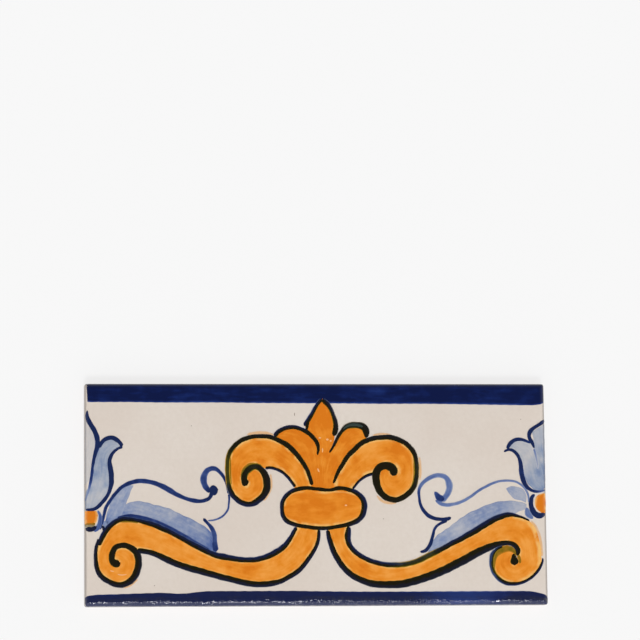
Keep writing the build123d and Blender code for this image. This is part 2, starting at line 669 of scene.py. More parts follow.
def paintAreas(name, finish, look, overOrange=True):
    parts = [areaPart(area, look, index) for index, area in enumerate(look["areas"])]
    for part in parts:
        part["overOrange"] = overOrange
    addPiece(name, layerMesh(name, parts), finish)
    return parts


def paintStrokes(name, finish, look):
    parts = [strokePart(points, look, index) for index, points in enumerate(look["strokes"])]
    addPiece(name, layerMesh(name, parts), finish)


amber = tone(214, 130, 40)

# Navy bands

upperBand = {
    "lift": 0.05, "crown": 0.012, "crossStep": 0.12, "step": 0.5, "wobble": 0.03,
    "areas": ({
        "edges": (
            [(-74.0, 30.0), (-73, 29.95), (-66, 29.95), (-60, 29.95), (-50, 29.8), (-40, 29.8), (-30, 29.8),
             (-20, 29.65), (-10, 29.6), (0, 29.55), (10, 29.5), (20, 29.4), (30, 29.4), (40, 29.35),
             (50, 29.2), (60, 29.05), (66, 28.95), (72, 28.98), (74.2, 29.5), (75.7, 30.4)],
            [(-74.4, 37.0), (-72, 37.4), (-66, 37.1), (-60, 37.6), (-50, 37.2), (-40, 37.5), (-30, 37.1),
             (-20, 37.7), (-10, 37.4), (0, 37.1), (10, 37.6), (20, 37.3), (30, 37.0), (40, 37.5),
             (50, 37.8), (60, 37.2), (66, 37.5), (71, 37.3), (74.0, 37.0), (75.7, 36.7)],
        ),
        "patches": ((-40, 31, 5, -0.05), (20, 30.6, 6, -0.06), (60, 31, 4, -0.05)),
    },),
    "finish": {
        "stain": tone(41, 78, 191), "deepInk": tone(14, 25, 68),
        "deepFrom": 0.5, "deepTo": 1.05, "cover": 1.04,
        "overOrange": amber, "inkOnOrange": tone(13, 24, 68),
        "streakLength": 9.0, "streakLines": 2.4, "streak": 0.35, "mottleSize": 5.0, "mottle": 0.25,
        "rimFrom": 0.8, "rim": -0.28,
    },
}
lowerBand = {
    "lift": 0.05, "crown": 0.012, "crossStep": 0.12, "step": 0.5, "wobble": 0.03,
    "areas": ({
        "edges": (
            [(-75.7, -34.2), (-74.4, -33.0), (-73, -32.6), (-70, -32.35), (-65, -32.25), (-60, -32.1),
             (-55, -31.95), (-50, -31.85), (-46, -32.1), (-43, -32.1), (-40, -31.8), (-35, -31.4),
             (-22, -31.4), (-8, -31.4), (0, -31.55), (18, -31.75), (40, -31.75), (66, -31.75),
             (69.75, -31.95), (72.25, -32.4), (74.25, -33.1), (74.9, -34.0)],
            [(-75.7, -36.7), (-74.2, -37.2), (-73, -37.6), (-70, -37.2), (-65, -37.9), (-60, -37.4),
             (-55, -37.7), (-50, -37.2), (-46, -37.8), (-43, -37.3), (-40, -37.6), (-35, -38.0),
             (-22, -37.3), (-8, -37.8), (0, -37.3), (18, -37.9), (40, -37.4), (66, -37.8), (69.75, -37.4),
             (72.25, -37.2), (74.0, -37.0), (74.9, -36.5)],
        ),
        "patches": ((48, -33.4, 13, -0.28), (10, -33, 10, -0.08), (-68, -33, 5, -0.12)),
    },),
    "finish": {
        "stain": tone(41, 78, 191), "deepInk": tone(27, 34, 72),
        "deepFrom": 0.5, "deepTo": 1.0, "cover": 1.15,
        "overOrange": amber, "inkOnOrange": tone(28, 36, 78),
        "streakLength": 12.0, "streakLines": 2.0, "streak": 0.16, "mottleSize": 3.0, "mottle": 0.12,
        "rimFrom": 0.85, "rim": -0.2, "roughness": 0.11, "ripple": 0.0003,
        # bumps that break up the reflection: their height, their size and that of their zones in mm,
        # the part of the band that they cover as shares across it, and how much is left on the rest
        "speckle": 2.8, "speckleSize": 1.1, "speckleZone": 14.0, "zoneRange": (0.42, 0.6, 0.3, 1.0),
        "speckleSide": (0.5, 0.1), "speckleLeast": 0.05,
    },
}
for name, band in (("upper_band", upperBand), ("lower_band", lowerBand)):
    finish = brushedPaint(name.replace("_band", " navy"), band["finish"])
    paintAreas(name, finish, band, overOrange=False)

# Orange areas

orangePaint = {
    "light": tone(241, 160, 70),
    "mid": tone(232, 141, 43),
    "dark": tone(220, 122, 28),
    "thin": tone(244, 192, 112),
    "lightRange": (0.5, 0.66),    # levels over which the middle tone turns light
    "darkRange": (0.38, 0.5),     # levels over which the dark tone turns into the middle one
    "streakLength": 7.0,
    "streakLines": 2.6,
    "streakShare": 0.45,
    "mottleSize": 4.5,            # mm
    "mottleShare": 0.55,
    "paleFrom": 0.7,              # mm in from the edge, where the orange is thin beside the outline
    "paleTo": 1.7,
    "paleShare": 0.9,
    "paleSize": 3.0,              # mm, how the pale rim comes and goes
    "paleRange": (0.36, 0.56),
    "scrollLevel": 0.03,          # added to the level, lighter above 0 and darker below
    "palmetteLevel": -0.03,
    "knotLevel": -0.05,
    "knotMottleSize": 8.0,
}


# Orange: a dark, a middle and a light tone by a level, which is the brush streaks and the mottles
# in their shares, less the paint load, and paler where it runs thin at the rim.
def orangeMaterial(name, look, addedLevel):
    material, tree, shader = newMaterial(name)
    across = readPaint(tree, "across")
    where = addNode(tree, "ShaderNodeCombineXYZ", None,
                    X=maths(tree, "MULTIPLY", readPaint(tree, "along"), mm / look["streakLength"]),
                    Y=maths(tree, "MULTIPLY", across, mm * look["streakLines"]), Z=0.0)
    streak = cloud(tree, 1.0, 4.0, 0.6, where.outputs[0])
    mottle = cloud(tree, look["mottleSize"], 3.0, 0.55)
    level = maths(tree, "ADD", maths(tree, "MULTIPLY", streak, look["streakShare"]),
                  maths(tree, "MULTIPLY", mottle, look["mottleShare"]))
    level = maths(tree, "ADD", level, addedLevel)
    level = maths(tree, "ADD", level, maths(tree, "SUBTRACT", 1.0, readPaint(tree, "load")))
    colour = blendTones(tree, spread(tree, level, *look["darkRange"]), look["dark"], look["mid"])
    colour = blendTones(tree, spread(tree, level, *look["lightRange"]), colour, look["light"])
    rim = spread(tree, readPaint(tree, "inset"), look["paleFrom"], look["paleTo"], look["paleShare"], 0.0,
                 "SMOOTHSTEP")
    rim = maths(tree, "MULTIPLY", rim, spread(tree, cloud(tree, look["paleSize"], 2.0), *look["paleRange"]))
    glossyFace(tree, shader, blendTones(tree, rim, colour, look["thin"]))
    return material


orangeLayer = {"lift": 0.05, "crown": 0.02, "crossStep": 0.4, "step": 0.5, "wobble": 0.05}
orangeScrolls = dict(orangeLayer, areas=(
    {"edges": (
        [(-6.3, -10.1), (-8.2, -13.6), (-10.6, -16.9), (-14.7, -19.6), (-19.3, -21.15), (-23.8, -21.35),
         (-28.4, -20.7), (-32.9, -19.8), (-37.4, -17.7), (-42.1, -15.2), (-47.4, -12.3), (-52.6, -9.95),
         (-57.9, -8.5), (-62.6, -7.95), (-65.2, -8.9), (-67.8, -11.2), (-69.8, -14.5), (-71.2, -18),
         (-71.4, -21.5), (-70.7, -25), (-67.9, -27.85), (-63.7, -29.2), (-60, -27.7), (-58.2, -25),
         (-57.7, -21.5), (-58.6, -18.7), (-61, -17), (-63.5, -16.9), (-65.4, -18.4)],
        [(0.7, -10.8), (0.2, -15.6), (-1.75, -19.55), (-6.3, -25.05), (-12, -28.35), (-19.3, -29.3),
         (-26.1, -28.1), (-32.9, -26.3), (-39.7, -24.45), (-45, -22.7), (-49.5, -20.7), (-53.5, -19),
         (-56.6, -18.35), (-58.6, -18.1), (-59.6, -17.6), (-60.8, -17), (-62.3, -16.5), (-63.9, -16.7),
         (-65.3, -17.5), (-66.2, -19), (-66.3, -21), (-65.4, -22.2), (-64.7, -22.5), (-64.4, -22.4),
         (-64.5, -22.2), (-64.8, -22), (-65.2, -21.8), (-65.6, -21.4), (-65.9, -20.9)]),
     "patches": ((-50, -15.5, 4, -0.06), (-38, -20, 5, -0.08), (-68, -16, 2, 0.12), (-24, -23.6, 3, 0.1),
                 (-55, -17.3, 2, 0.1), (-38, -23.8, 2.5, 0.1), (-14, -24, 4, -0.05))},
    {"edges": (
        [(10.5, -9.8), (9.95, -14.4), (11.45, -18), (14.4, -20.4), (18.5, -22.2), (23.2, -23.1), (28, -23),
         (32.8, -21.8), (38.5, -19.05), (44.2, -16), (48.5, -13.8), (53.5, -10.9), (58.5, -8.1),
         (62.6, -6.9), (66, -7.4), (69.4, -8.95), (71.5, -12), (72.7, -16.5), (73.1, -20.5), (72.9, -23.3),
         (71, -26.2), (67.75, -28.5), (63.5, -29.45), (59.5, -28.3), (57, -25), (56.7, -21.5), (58, -18.6),
         (60.4, -17), (63, -17), (65, -18.6)],
        [(3.2, -10.8), (4.3, -15.8), (5.75, -19.6), (8.1, -23.4), (13.2, -27.55), (20.1, -29.45),
         (27.5, -29.3), (34.7, -27.4), (41.8, -24.6), (47, -22), (51, -19.9), (54.5, -18.1), (57.5, -17),
         (60, -16.3), (61.2, -16.1), (62.3, -16.1), (63.6, -16.5), (64.8, -17.3), (65.3, -18.6),
         (65.1, -20.2), (64.8, -21.5), (64.5, -22.5), (64.3, -22.8), (64.2, -22.5), (64.2, -22.1),
         (64.3, -21.7), (64.4, -21.3), (64.6, -20.8), (64.8, -20.3), (65.1, -19.7)]),
     "patches": ((55, -13, 4, -0.06), (70.5, -19, 2.4, -0.1), (69.5, -13.5, 1.6, 0.12),
                 (72, -18.5, 1.2, 0.12), (62, -23, 1.8, 0.1), (30, -26, 5, -0.05), (14, -24, 3, 0.06))},
))
orangeKnot = dict(orangeLayer, areas=({"edges": (
    [(-11.3, -4.5), (-11, -2.3), (-8.8, 0.4), (-5.4, 1.7), (-1.3, 1.75), (2.2, 1.3), (6.8, 1.8),
     (10.5, 1.35), (13.8, -0.3), (15.4, -3)],
    [(-11.2, -5.5), (-10.8, -7.5), (-9.2, -9.2), (-5.2, -10.4), (-1.3, -10.9), (2.6, -11.2), (7.6, -10.5),
     (11.5, -9.6), (14.2, -7.8), (15.4, -5)]),
    "capped": True, "patches": ((9, -7.5, 2, -0.04), (-2, -8.5, 1.2, -0.08), (2, -2, 4, 0.03))},))
orangePalmette = dict(orangeLayer, areas=(
    {"edges": (
        [(-1.5, 0.9), (-2, 5), (-3.8, 9.3), (-6.8, 13.3), (-10.6, 16.6), (-14.3, 18.4), (-18.1, 18.8),
         (-22, 18.3), (-25.4, 16.6), (-28, 13.6), (-28.9, 9.5), (-28.8, 5), (-27.9, 0.9), (-25.5, -2),
         (-22.5, -3.3), (-19.2, -2.2), (-17, 0), (-16.1, 3), (-17, 6.9), (-19, 8.6), (-21.5, 8.3)],
        [(-6.6, 0.9), (-8.4, 4.4), (-10.4, 6.5), (-12.7, 8), (-14.6, 8.5), (-16.6, 8.3), (-18.2, 9),
         (-19.8, 9.3), (-21.3, 9), (-22.6, 7.8), (-23.4, 6.3), (-23.5, 5), (-23.2, 3.8), (-22.9, 3.3),
         (-22.8, 3.2), (-22.7, 3.4), (-22.7, 3.7), (-22.8, 4.1), (-22.9, 4.6), (-23.1, 5.1),
         (-23.3, 5.6)]),
     "patches": ((-15, 10.8, 2.6, -0.14), (-11.5, 11.5, 1.2, 0.14), (-18, 16.5, 1.4, 0.1),
                 (-7.5, 6, 1.6, -0.14), (-21, 0, 1.6, -0.08))},
    {"edges": (
        [(5.3, 0.9), (6.1, 4.9), (7.9, 8.5), (10.6, 12.6), (13.95, 15.8), (17.5, 17.7), (21.8, 18.4),
         (25.1, 18.2), (28.7, 16.7), (31.5, 14.2), (32.6, 10.5), (32.6, 6), (31.5, 2), (29, -0.8),
         (26.1, -2), (22.7, -1.3), (20.4, 1), (19.4, 4.5), (20.1, 8), (22.6, 9.1)],
        [(11.2, 0.6), (12.3, 2.3), (13.4, 3.6), (14.6, 4.8), (16.3, 5.9), (18.3, 6.6), (19.4, 7.9),
         (20.7, 9.2), (22.4, 10), (24.4, 9.8), (25.9, 8.8), (26.3, 7.3), (25.5, 6.1), (25, 5.9), (24.9, 6),
         (24.9, 6.3), (24.9, 6.6), (24.9, 7), (24.9, 7.5), (24.9, 8)]),
     "patches": ((18.5, 13.7, 3, -0.14), (11, 5.5, 2, -0.12), (27, 14, 2, 0.06), (27, 1.2, 2, -0.06))},
    {"edges": (
        [(1.6, 0.8), (1.3, 6), (0.9, 10), (0.7, 14), (-0.2, 17.5), (-2.6, 20.1), (-6, 21.6), (-9.4, 21.6),
         (-12, 20.5), (-13.5, 18.8)],
        [(-1.6, 0.9), (-1.8, 4), (-2.6, 7), (-4, 9.6), (-5.6, 11.8), (-7.2, 13.9), (-9, 15.5),
         (-10.8, 16.8), (-12.4, 17.6), (-13.5, 18.2)]), "bareRim": 4.0, "strength": ((0, 1.06), (1, 1.08))},
    {"edges": (
        [(1.6, 0.8), (2.2, 6), (3, 10), (4.3, 13.4), (6.1, 16.4), (7.6, 19.3), (9.6, 21.6), (12.2, 22.3),
         (14.8, 22), (16.5, 20.3), (16.4, 18)],
        [(5.5, 0.9), (6, 4.6), (7.2, 7.3), (8.6, 9.8), (10, 12), (11.4, 13.6), (12.6, 14.7), (13.8, 15.7),
         (14.9, 16.6), (15.8, 17.1), (16.2, 17.4)]), "bareRim": 4.0, "strength": ((0, 1.06), (1, 1.03))},
    {"edges": (
        [(1.0, 0.8), (1.1, 6), (0.8, 10), (0.6, 14), (-0.2, 17.3), (-2.7, 20.2), (-3.4, 22.6),
         (-1.15, 26.25), (0.6, 29.3), (2, 31)],
        [(2.2, 0.8), (2.5, 6), (3.2, 10), (4.4, 13.4), (5.6, 16.6), (6.3, 19.5), (6.4, 22.5), (5.6, 26),
         (3.9, 29.2), (2.4, 31)]), "bareRim": 4.0,
     "strength": ((0, 1.12), (0.4, 1.04), (0.5, 1.0), (0.7, 1.08), (1, 1.1))},
))
orangeBuds = dict(orangeLayer, areas=(
    {"edges": ([(-74.9, -5.4), (-74.9, -7), (-74.9, -8.5), (-74.9, -9.9)],
               [(-71.2, -5.4), (-70.8, -6.7), (-71, -8.5), (-71.8, -9.9)]), "bareRim": 0.7,
     "strength": ((0, 1.1), (1, 1.1))},
    # the right bud's load, heavier than the left's, darkens it as painted shade where it runs over the arris
    {"edges": ([(73.7, 0.05), (72.5, -0.4), (71.6, -1.4), (71.2, -2.9), (71.5, -4.4), (72.4, -5.7),
                (73.6, -6.4)],
               [(74.7, 0.05), (74.85, -1.0), (74.9, -2), (74.9, -3), (74.9, -4.5), (74.8, -5.7),
                (74.6, -6.4)]),
     "bareRim": 0.7, "strength": ((0, 1.15), (1, 1.15))},
))
scrollFinish = orangeMaterial("orange scroll", orangePaint, orangePaint["scrollLevel"])
palmetteFinish = orangeMaterial("orange palmette", orangePaint, orangePaint["palmetteLevel"])
knotFinish = orangeMaterial("orange knot", dict(orangePaint, mottleSize=orangePaint["knotMottleSize"]),
                            orangePaint["knotLevel"])
for name, look, finish in (
    ("scrolls_orange", orangeScrolls, scrollFinish),
    ("knot_orange", orangeKnot, knotFinish),
    ("palmette_orange", orangePalmette, palmetteFinish),
    ("buds_orange", orangeBuds, knotFinish),
):
    made = paintAreas(name, finish, look, overOrange=False)
    orangeRims += [rimOf(part) for part in made]

# Pale blue washes

leafWash = {
    "lift": 0.045, "crown": 0.008, "crossStep": 0.3, "step": 0.45, "wobble": 0.08,
    "finish": {
        "stain": tone(113, 143, 212), "deepInk": tone(34, 56, 120),
        "deepFrom": 1.3, "deepTo": 3.0, "cover": 0.58,
        "overOrange": amber, "inkOnOrange": tone(110, 100, 60),
        "streakLength": 6.0, "streakLines": 3.2, "streak": 0.9, "mottleSize": 1.4, "mottle": 1.1,
        "rimFrom": 0.86, "rim": 0.1,
    },
    "areas": (
        {"edges": (
            [(-61.6, -3.2), (-59.6, -2.4), (-57.1, -2.3), (-55, -2.7), (-52.6, -3.4), (-50, -4),
             (-47.4, -4.8), (-45.3, -5.9), (-42.9, -7.05), (-40.4, -8.15), (-37.5, -9.8), (-35.6, -11.05),
             (-34.2, -12.6), (-33.2, -15)],
            [(-64.2, -8.4), (-61, -7.9), (-58, -8.3), (-55, -9.1), (-52, -10.1), (-49, -11.5), (-46, -13),
             (-43, -14.6), (-40, -16.2), (-38.5, -17), (-37, -17.7), (-35.5, -18.5), (-34, -19.2),
             (-32.5, -19.7)]),
         "strength": ((0, 0.9), (0.3, 0.85), (0.6, 0.95), (0.85, 1.3), (1, 1.8)),
         "patches": ((-45, -10.5, 3, 0.1), (-33.6, -16.5, 1.5, 0.5), (-56, -4.5, 2.5, -0.1),
                     (-38, -11, 2, -0.4), (-40, -14.6, 1.8, 0.3), (-50, -10.2, 1.6, 0.2),
                     (-62, -6.5, 1.6, 0.3), (-47, -6.4, 1.6, -0.25))},
        {"edges": (
            [(-61.5, 3.2), (-63.5, 1.4), (-65, -0.3), (-66.3, -2.2), (-67.3, -4.5), (-68, -7),
             (-68.4, -8.7)],
            [(-59.3, 2.8), (-60.3, 0.5), (-61.2, -1.8), (-62, -4.5), (-63, -7.6), (-65, -8.6),
             (-67.2, -10.2)]),
         "strength": ((0, 0.85), (0.5, 0.8), (1, 1.2)),
         "patches": ((-61.8, -2.5, 1.0, 0.3), (-68, -9, 1.2, 0.4))},
        {"edges": (
            [(37.9, -15), (39.2, -13.5), (40.5, -12.6), (42, -11.6), (43.5, -10.6), (45, -9.4),
             (46.6, -8.2), (48, -7.3), (50, -6.1), (52.5, -5), (55, -3.95), (57.5, -3.05), (60, -2.55),
             (62.5, -2.4), (65, -2.5), (67, -2.9), (68.5, -3.5)],
            [(35.6, -20), (38, -19.1), (40.4, -18), (43, -16.6), (46, -15.1), (48.5, -13.8), (51, -12.3),
             (53.5, -10.8), (54.8, -10), (56, -9.3), (57.2, -8.7), (58.5, -8), (60.5, -7.2), (62.5, -6.8),
             (64.5, -6.5), (66.5, -5.7), (68.5, -4.9)]),
         "strength": ((0, 0.9), (0.3, 0.65), (0.5, 0.95), (0.75, 0.8), (1, 0.5)),
         "patches": ((54, -6, 1.6, 0.25), (59.5, -4, 2, 0.25), (41, -15, 1.8, 0.2), (47, -10.5, 2, -0.15))},
        {"edges": (
            [(61.9, 1.6), (63, 2.2), (64.5, 2.3), (66, 2.1), (67.3, 1.4), (68.2, 0.3), (68.6, -1)],
            [(62.0, 1.4), (62.4, 0.8), (63.2, -0.5), (64.2, -1.5), (65.5, -2), (67, -2.4), (68.3, -2.9)]),
         "strength": ((0, 0.9), (0.5, 0.65), (1, 0.6))},
        {"edges": (
            [(-68.9, -8.6), (-69.1, -9.8), (-69, -11.2)],
            [(-66.9, -8.8), (-67.2, -9.8), (-68.2, -11.3)]),
         "strength": ((0, 1.2), (1, 1.0))},
    ),
}
tulipWash = {
    "lift": 0.045, "crown": 0.008, "crossStep": 0.25, "step": 0.4, "wobble": 0.06,
    "finish": {
        "stain": tone(114, 146, 208), "deepInk": tone(34, 56, 120),
        "deepFrom": 1.3, "deepTo": 3.0, "cover": 0.5,
        "overOrange": amber, "inkOnOrange": tone(110, 100, 60),
        "streakLength": 7.0, "streakLines": 3.4, "streak": 1.3, "mottleSize": 1.8, "mottle": 0.9,
        "rimFrom": 0.84, "rim": 0.16,
    },
    "areas": (
        {"edges": (
            [(-63.4, 15.9), (-65, 17.2), (-67.2, 17.7), (-69.4, 17.0), (-70.9, 15), (-71.7, 12), (-72.2, 9),
             (-72.6, 6), (-73.3, 3), (-74.6, 0.5), (-74.8, -2.5), (-74.7, -4.8)],
            [(-63.4, 15.5), (-64.8, 14.9), (-65.9, 13.6), (-66.9, 12), (-67.2, 10), (-67.1, 8), (-66.9, 6),
             (-66.9, 4), (-67, 2), (-67.7, 0), (-69.2, -2.2), (-71.5, -4.6)]),
         "strength": ((0, 0.6), (0.2, 0.9), (0.35, 1.0), (0.55, 0.8), (0.7, 0.6), (0.85, 0.5), (1, 0.7)),
         "patches": ((-71.2, 6.5, 0.9, 0.4), (-74, 1.5, 1.0, 0.5), (-67.6, 3, 0.7, 0.4))},
        {"edges": (
            [(-74.8, 24), (-74.8, 21), (-74.8, 18), (-74.8, 14), (-74.8, 10), (-74.8, 6), (-74.8, 3)],
            [(-73.6, 23), (-72.3, 20), (-71.6, 17), (-71.7, 14), (-72.4, 11), (-72.9, 8), (-73.3, 5)]),
         "strength": ((0, 0.25), (1, 0.25))},
        {"edges": (
            [(63.3, 15.1), (65, 14.2), (66.4, 12.6), (67.2, 10.5), (67.6, 8), (67.9, 6), (68.7, 4),
             (69.7, 2.4), (71.5, 1.1), (73.6, 0.9)],
            [(63.6, 15.6), (65.2, 17), (67.5, 17.3), (70.2, 16.6), (71.9, 14.3), (73.2, 11.6), (73.9, 8.5),
             (74.3, 6), (74.6, 4), (74.8, 2)]),
         "strength": ((0, 0.75), (0.15, 0.5), (0.4, 0.4), (0.65, 0.85), (1, 1.0)),
         "patches": ((72.6, 7, 0.8, 0.7), (74, 1.2, 0.8, 0.7), (70, 4, 1.0, 0.3))},
        {"edges": (
            [(70.8, 20.2), (71.2, 18), (71.0, 16.2), (71.3, 14), (72.4, 11.6), (73.8, 8.6), (74.3, 6),
             (74.5, 4)],
            [(74.9, 22.8), (74.9, 20), (74.9, 17.5), (74.9, 15), (74.9, 12), (74.9, 9), (74.9, 6.5),
             (74.9, 4)]),
         "strength": ((0, 0.6), (0.4, 0.8), (0.7, 1.1), (1, 1.0)),
         "patches": ((73.9, 7.6, 0.9, 0.9), (73.2, 11, 0.7, -0.5), (74.3, 14, 0.6, 0.4))},
    ),
}
for name, wash in (("leaf_wash", leafWash), ("tulip_wash", tulipWash)):
    paintAreas(name, brushedPaint(name.replace("_", " "), wash["finish"]), wash)

# Blue line work. Fade and soak are given by a stroke's place in strokes, counted from 0.

blueLine = {
    "lift": 0.075, "crown": 0.02, "swell": 0.04,
    "finish": {
        "stain": tone(46, 76, 172), "deepInk": tone(26, 40, 82),
        "deepFrom": 0.45, "deepTo": 1.0, "cover": 1.0,
        "overOrange": amber, "inkOnOrange": tone(40, 36, 20),
        "streakLength": 5.0, "streakLines": 1.6, "streak": 0.5, "mottleSize": 2.0, "mottle": 0.5,
        "rimFrom": 0.5, "rim": -0.2,
    },
}
leafLines = dict(blueLine, fade={
    0: ((0, 0.8), (0.3, 0.95), (0.5, 0.85), (0.9, 0.9), (1, 1.1)),
    1: ((0, 1.3), (1, 1.3)),
    2: ((0, 1.1), (0.1, 0.8), (0.3, 0.7), (0.5, 0.8), (0.8, 1.0), (1, 0.9)),
    3: ((0, 0.9), (0.3, 0.7), (1, 0.55)),
    4: ((0, 1.1), (0.25, 0.8), (0.6, 0.65), (1, 0.9)),
    5: ((0, 0.9), (0.4, 0.8), (1, 0.75)),
    6: ((0, 0.6), (0.12, 0.45), (0.5, 0.5), (0.8, 0.42), (1, 0.42)),
    7: ((0, 0.6), (0.5, 0.85), (1, 0.8)),
    8: ((0, 0.5), (0.3, 0.48), (0.5, 0.55), (0.62, 0.9), (1, 1.15)),
    9: ((0, 1.1), (0.3, 0.9), (1, 1.2)),
    10: ((0, 0.5), (1, 0.45)),
}, strokes=(
    # left leaf: stem line over the leaf, ball, curl, its thin tail, lower contour
    [(-70, -11.4, 0.5), (-69.5, -9.7, 0.7), (-69, -7.6, 0.9), (-68.55, -5.75, 0.95), (-68, -3.9, 1),
     (-66.75, -2, 1), (-65.75, -0.6, 1), (-64.75, 0.6, 1), (-63.75, 1.75, 1.05), (-62.5, 2.65, 1.1),
     (-61, 3.4, 1.25), (-59.5, 3.95, 1.3), (-57.5, 4.3, 1.4), (-56, 4.25, 1.4), (-54.25, 4.05, 1.35),
     (-52.5, 3.6, 1.4), (-50.75, 2.9, 1.5), (-49, 2.1, 1.7), (-47.25, 1, 1.7), (-45.75, 0.1, 1.4),
     (-44, -0.75, 1.3), (-42, -1.6, 1.1), (-40, -2.05, 1.4), (-38.5, -2.3, 1.2), (-37, -2.3, 1.1),
     (-35.5, -1.8, 1.15), (-34.6, -1.2, 1.1), (-34.2, -0.4, 1.1), (-33.9, 0.7, 1.3)],
    [(-34.9, 1.0, 2.4), (-34.2, 1.1, 3.0), (-33.4, 1.2, 3.5), (-32.6, 1.4, 3.2), (-31.9, 1.5, 2.4)],
    [(-34.4, 0.6, 1.4), (-35.3, 1.4, 1.6), (-36.2, 2.8, 1.8), (-36.65, 4.4, 2.1), (-36.45, 6, 2),
     (-35.8, 7.2, 1.7), (-34.8, 8.1, 1.5), (-33.6, 8.4, 1.5), (-32.6, 8.2, 1.3), (-31.6, 7.4, 1.1),
     (-30.7, 6.3, 1), (-29.9, 5.2, 0.9), (-29.4, 4.2, 0.9), (-29, 3, 0.9), (-28.8, 1.5, 0.8),
     (-28.5, 0, 0.7)],
    [(-28.5, 0, 0.6), (-28.4, -0.8, 0.6), (-28.4, -2, 0.6), (-28.5, -3.5, 0.5), (-28.7, -4.9, 0.6),
     (-29.3, -5.9, 0.55), (-30.3, -7, 0.55), (-31.5, -7.85, 0.55), (-32.8, -8.3, 0.5), (-34, -8.55, 0.45),
     (-35.3, -8.6, 0.4)],
    [(-36.8, -7.9, 0.8), (-36.2, -8.6, 0.9), (-35.3, -9.5, 0.9), (-34.5, -10.4, 1.1), (-33.8, -11.6, 1.4),
     (-33.3, -13, 1.6), (-33.2, -14.5, 1.7), (-33.2, -16, 1.7), (-33, -17.4, 1.9), (-32.6, -18.6, 1.8)],
    [(-64.5, -7.7, 0.8), (-61, -7, 1.1), (-58, -7.3, 1.2), (-54, -8.3, 1.3), (-50, -9.9, 1.4),
     (-46, -11.9, 1.3), (-42, -14.1, 1.2), (-38, -16.4, 1.0), (-35, -18, 0.8)],
    # right leaf: tail and top line, wedge ball, curl round to its hook, lower contour
    [(38.7, -2.1, 0.5), (39.5, -2.85, 0.9), (40.6, -3.4, 1.2), (41.8, -3.65, 1.2), (43.2, -3.7, 1.1),
     (45, -3.4, 1), (46.5, -2.95, 0.95), (48, -2.3, 0.95), (49.5, -1.5, 0.9), (51, -0.5, 0.85),
     (52, 0.35, 0.85), (53.5, 1.3, 0.8), (55, 2.1, 0.8), (56.5, 2.9, 0.8), (58, 3.5, 0.75),
     (59.5, 3.95, 0.7), (61, 4.2, 0.7), (62.5, 4.2, 0.7), (64, 4.1, 0.65), (65.5, 3.7, 0.65),
     (66.7, 3, 0.65), (67.6, 2.2, 0.65), (68.4, 1.1, 0.65), (69.05, -0.3, 0.65), (69.3, -1.5, 0.6),
     (69.2, -3, 0.4)],
    [(38.4, 0.6, 0.6), (39.2, -0.3, 1.6), (39.9, -1.5, 2.2), (41.2, -1.7, 2), (41.8, -1.5, 1.6)],
    [(40.7, -2.5, 1.5), (41.5, -1.6, 1.9), (42.4, -0.6, 1.8), (43, 0.6, 1.9), (43.4, 2, 2.15),
     (43.2, 3.5, 2.1), (42.7, 4.8, 1.7), (41.8, 5.6, 1.5), (40.6, 5.9, 1.5), (39.2, 5.95, 1.35),
     (37.8, 5.6, 1.4), (36.6, 4.95, 1.3), (35.4, 4.15, 1.2), (34.3, 3.1, 1.1), (33.6, 2.1, 1),
     (33.35, 1.1, 0.9), (33.3, 0, 0.85), (33.45, -1.2, 0.8), (33.5, -2.2, 0.8), (33.7, -3.4, 0.9),
     (34.3, -4.75, 1), (35.2, -6.05, 1.1), (36.3, -7.2, 1.2), (37.7, -7.9, 1.2), (39, -8.2, 1.1),
     (40.5, -8.4, 1), (42, -8.4, 1.2), (43.2, -8.1, 1), (43.7, -7.7, 0.9)],
    [(42.5, -8.8, 0.9), (41.2, -9.2, 0.9), (40, -9.85, 0.8), (38.95, -10.6, 0.8), (38.15, -11.75, 0.8),
     (37.8, -13.1, 0.9), (37.45, -14.5, 1), (37, -16.05, 1.1), (36.25, -17.4, 1.1), (35.3, -18.5, 1.1),
     (34.3, -18.95, 0.9), (33.4, -18.95, 0.6)],
    [(68.4, -4.6, 0.8), (68.6, -5.2, 1.2), (68.9, -6.5, 2.2), (70, -7.8, 1.4), (70.6, -8.2, 0.8)],
))
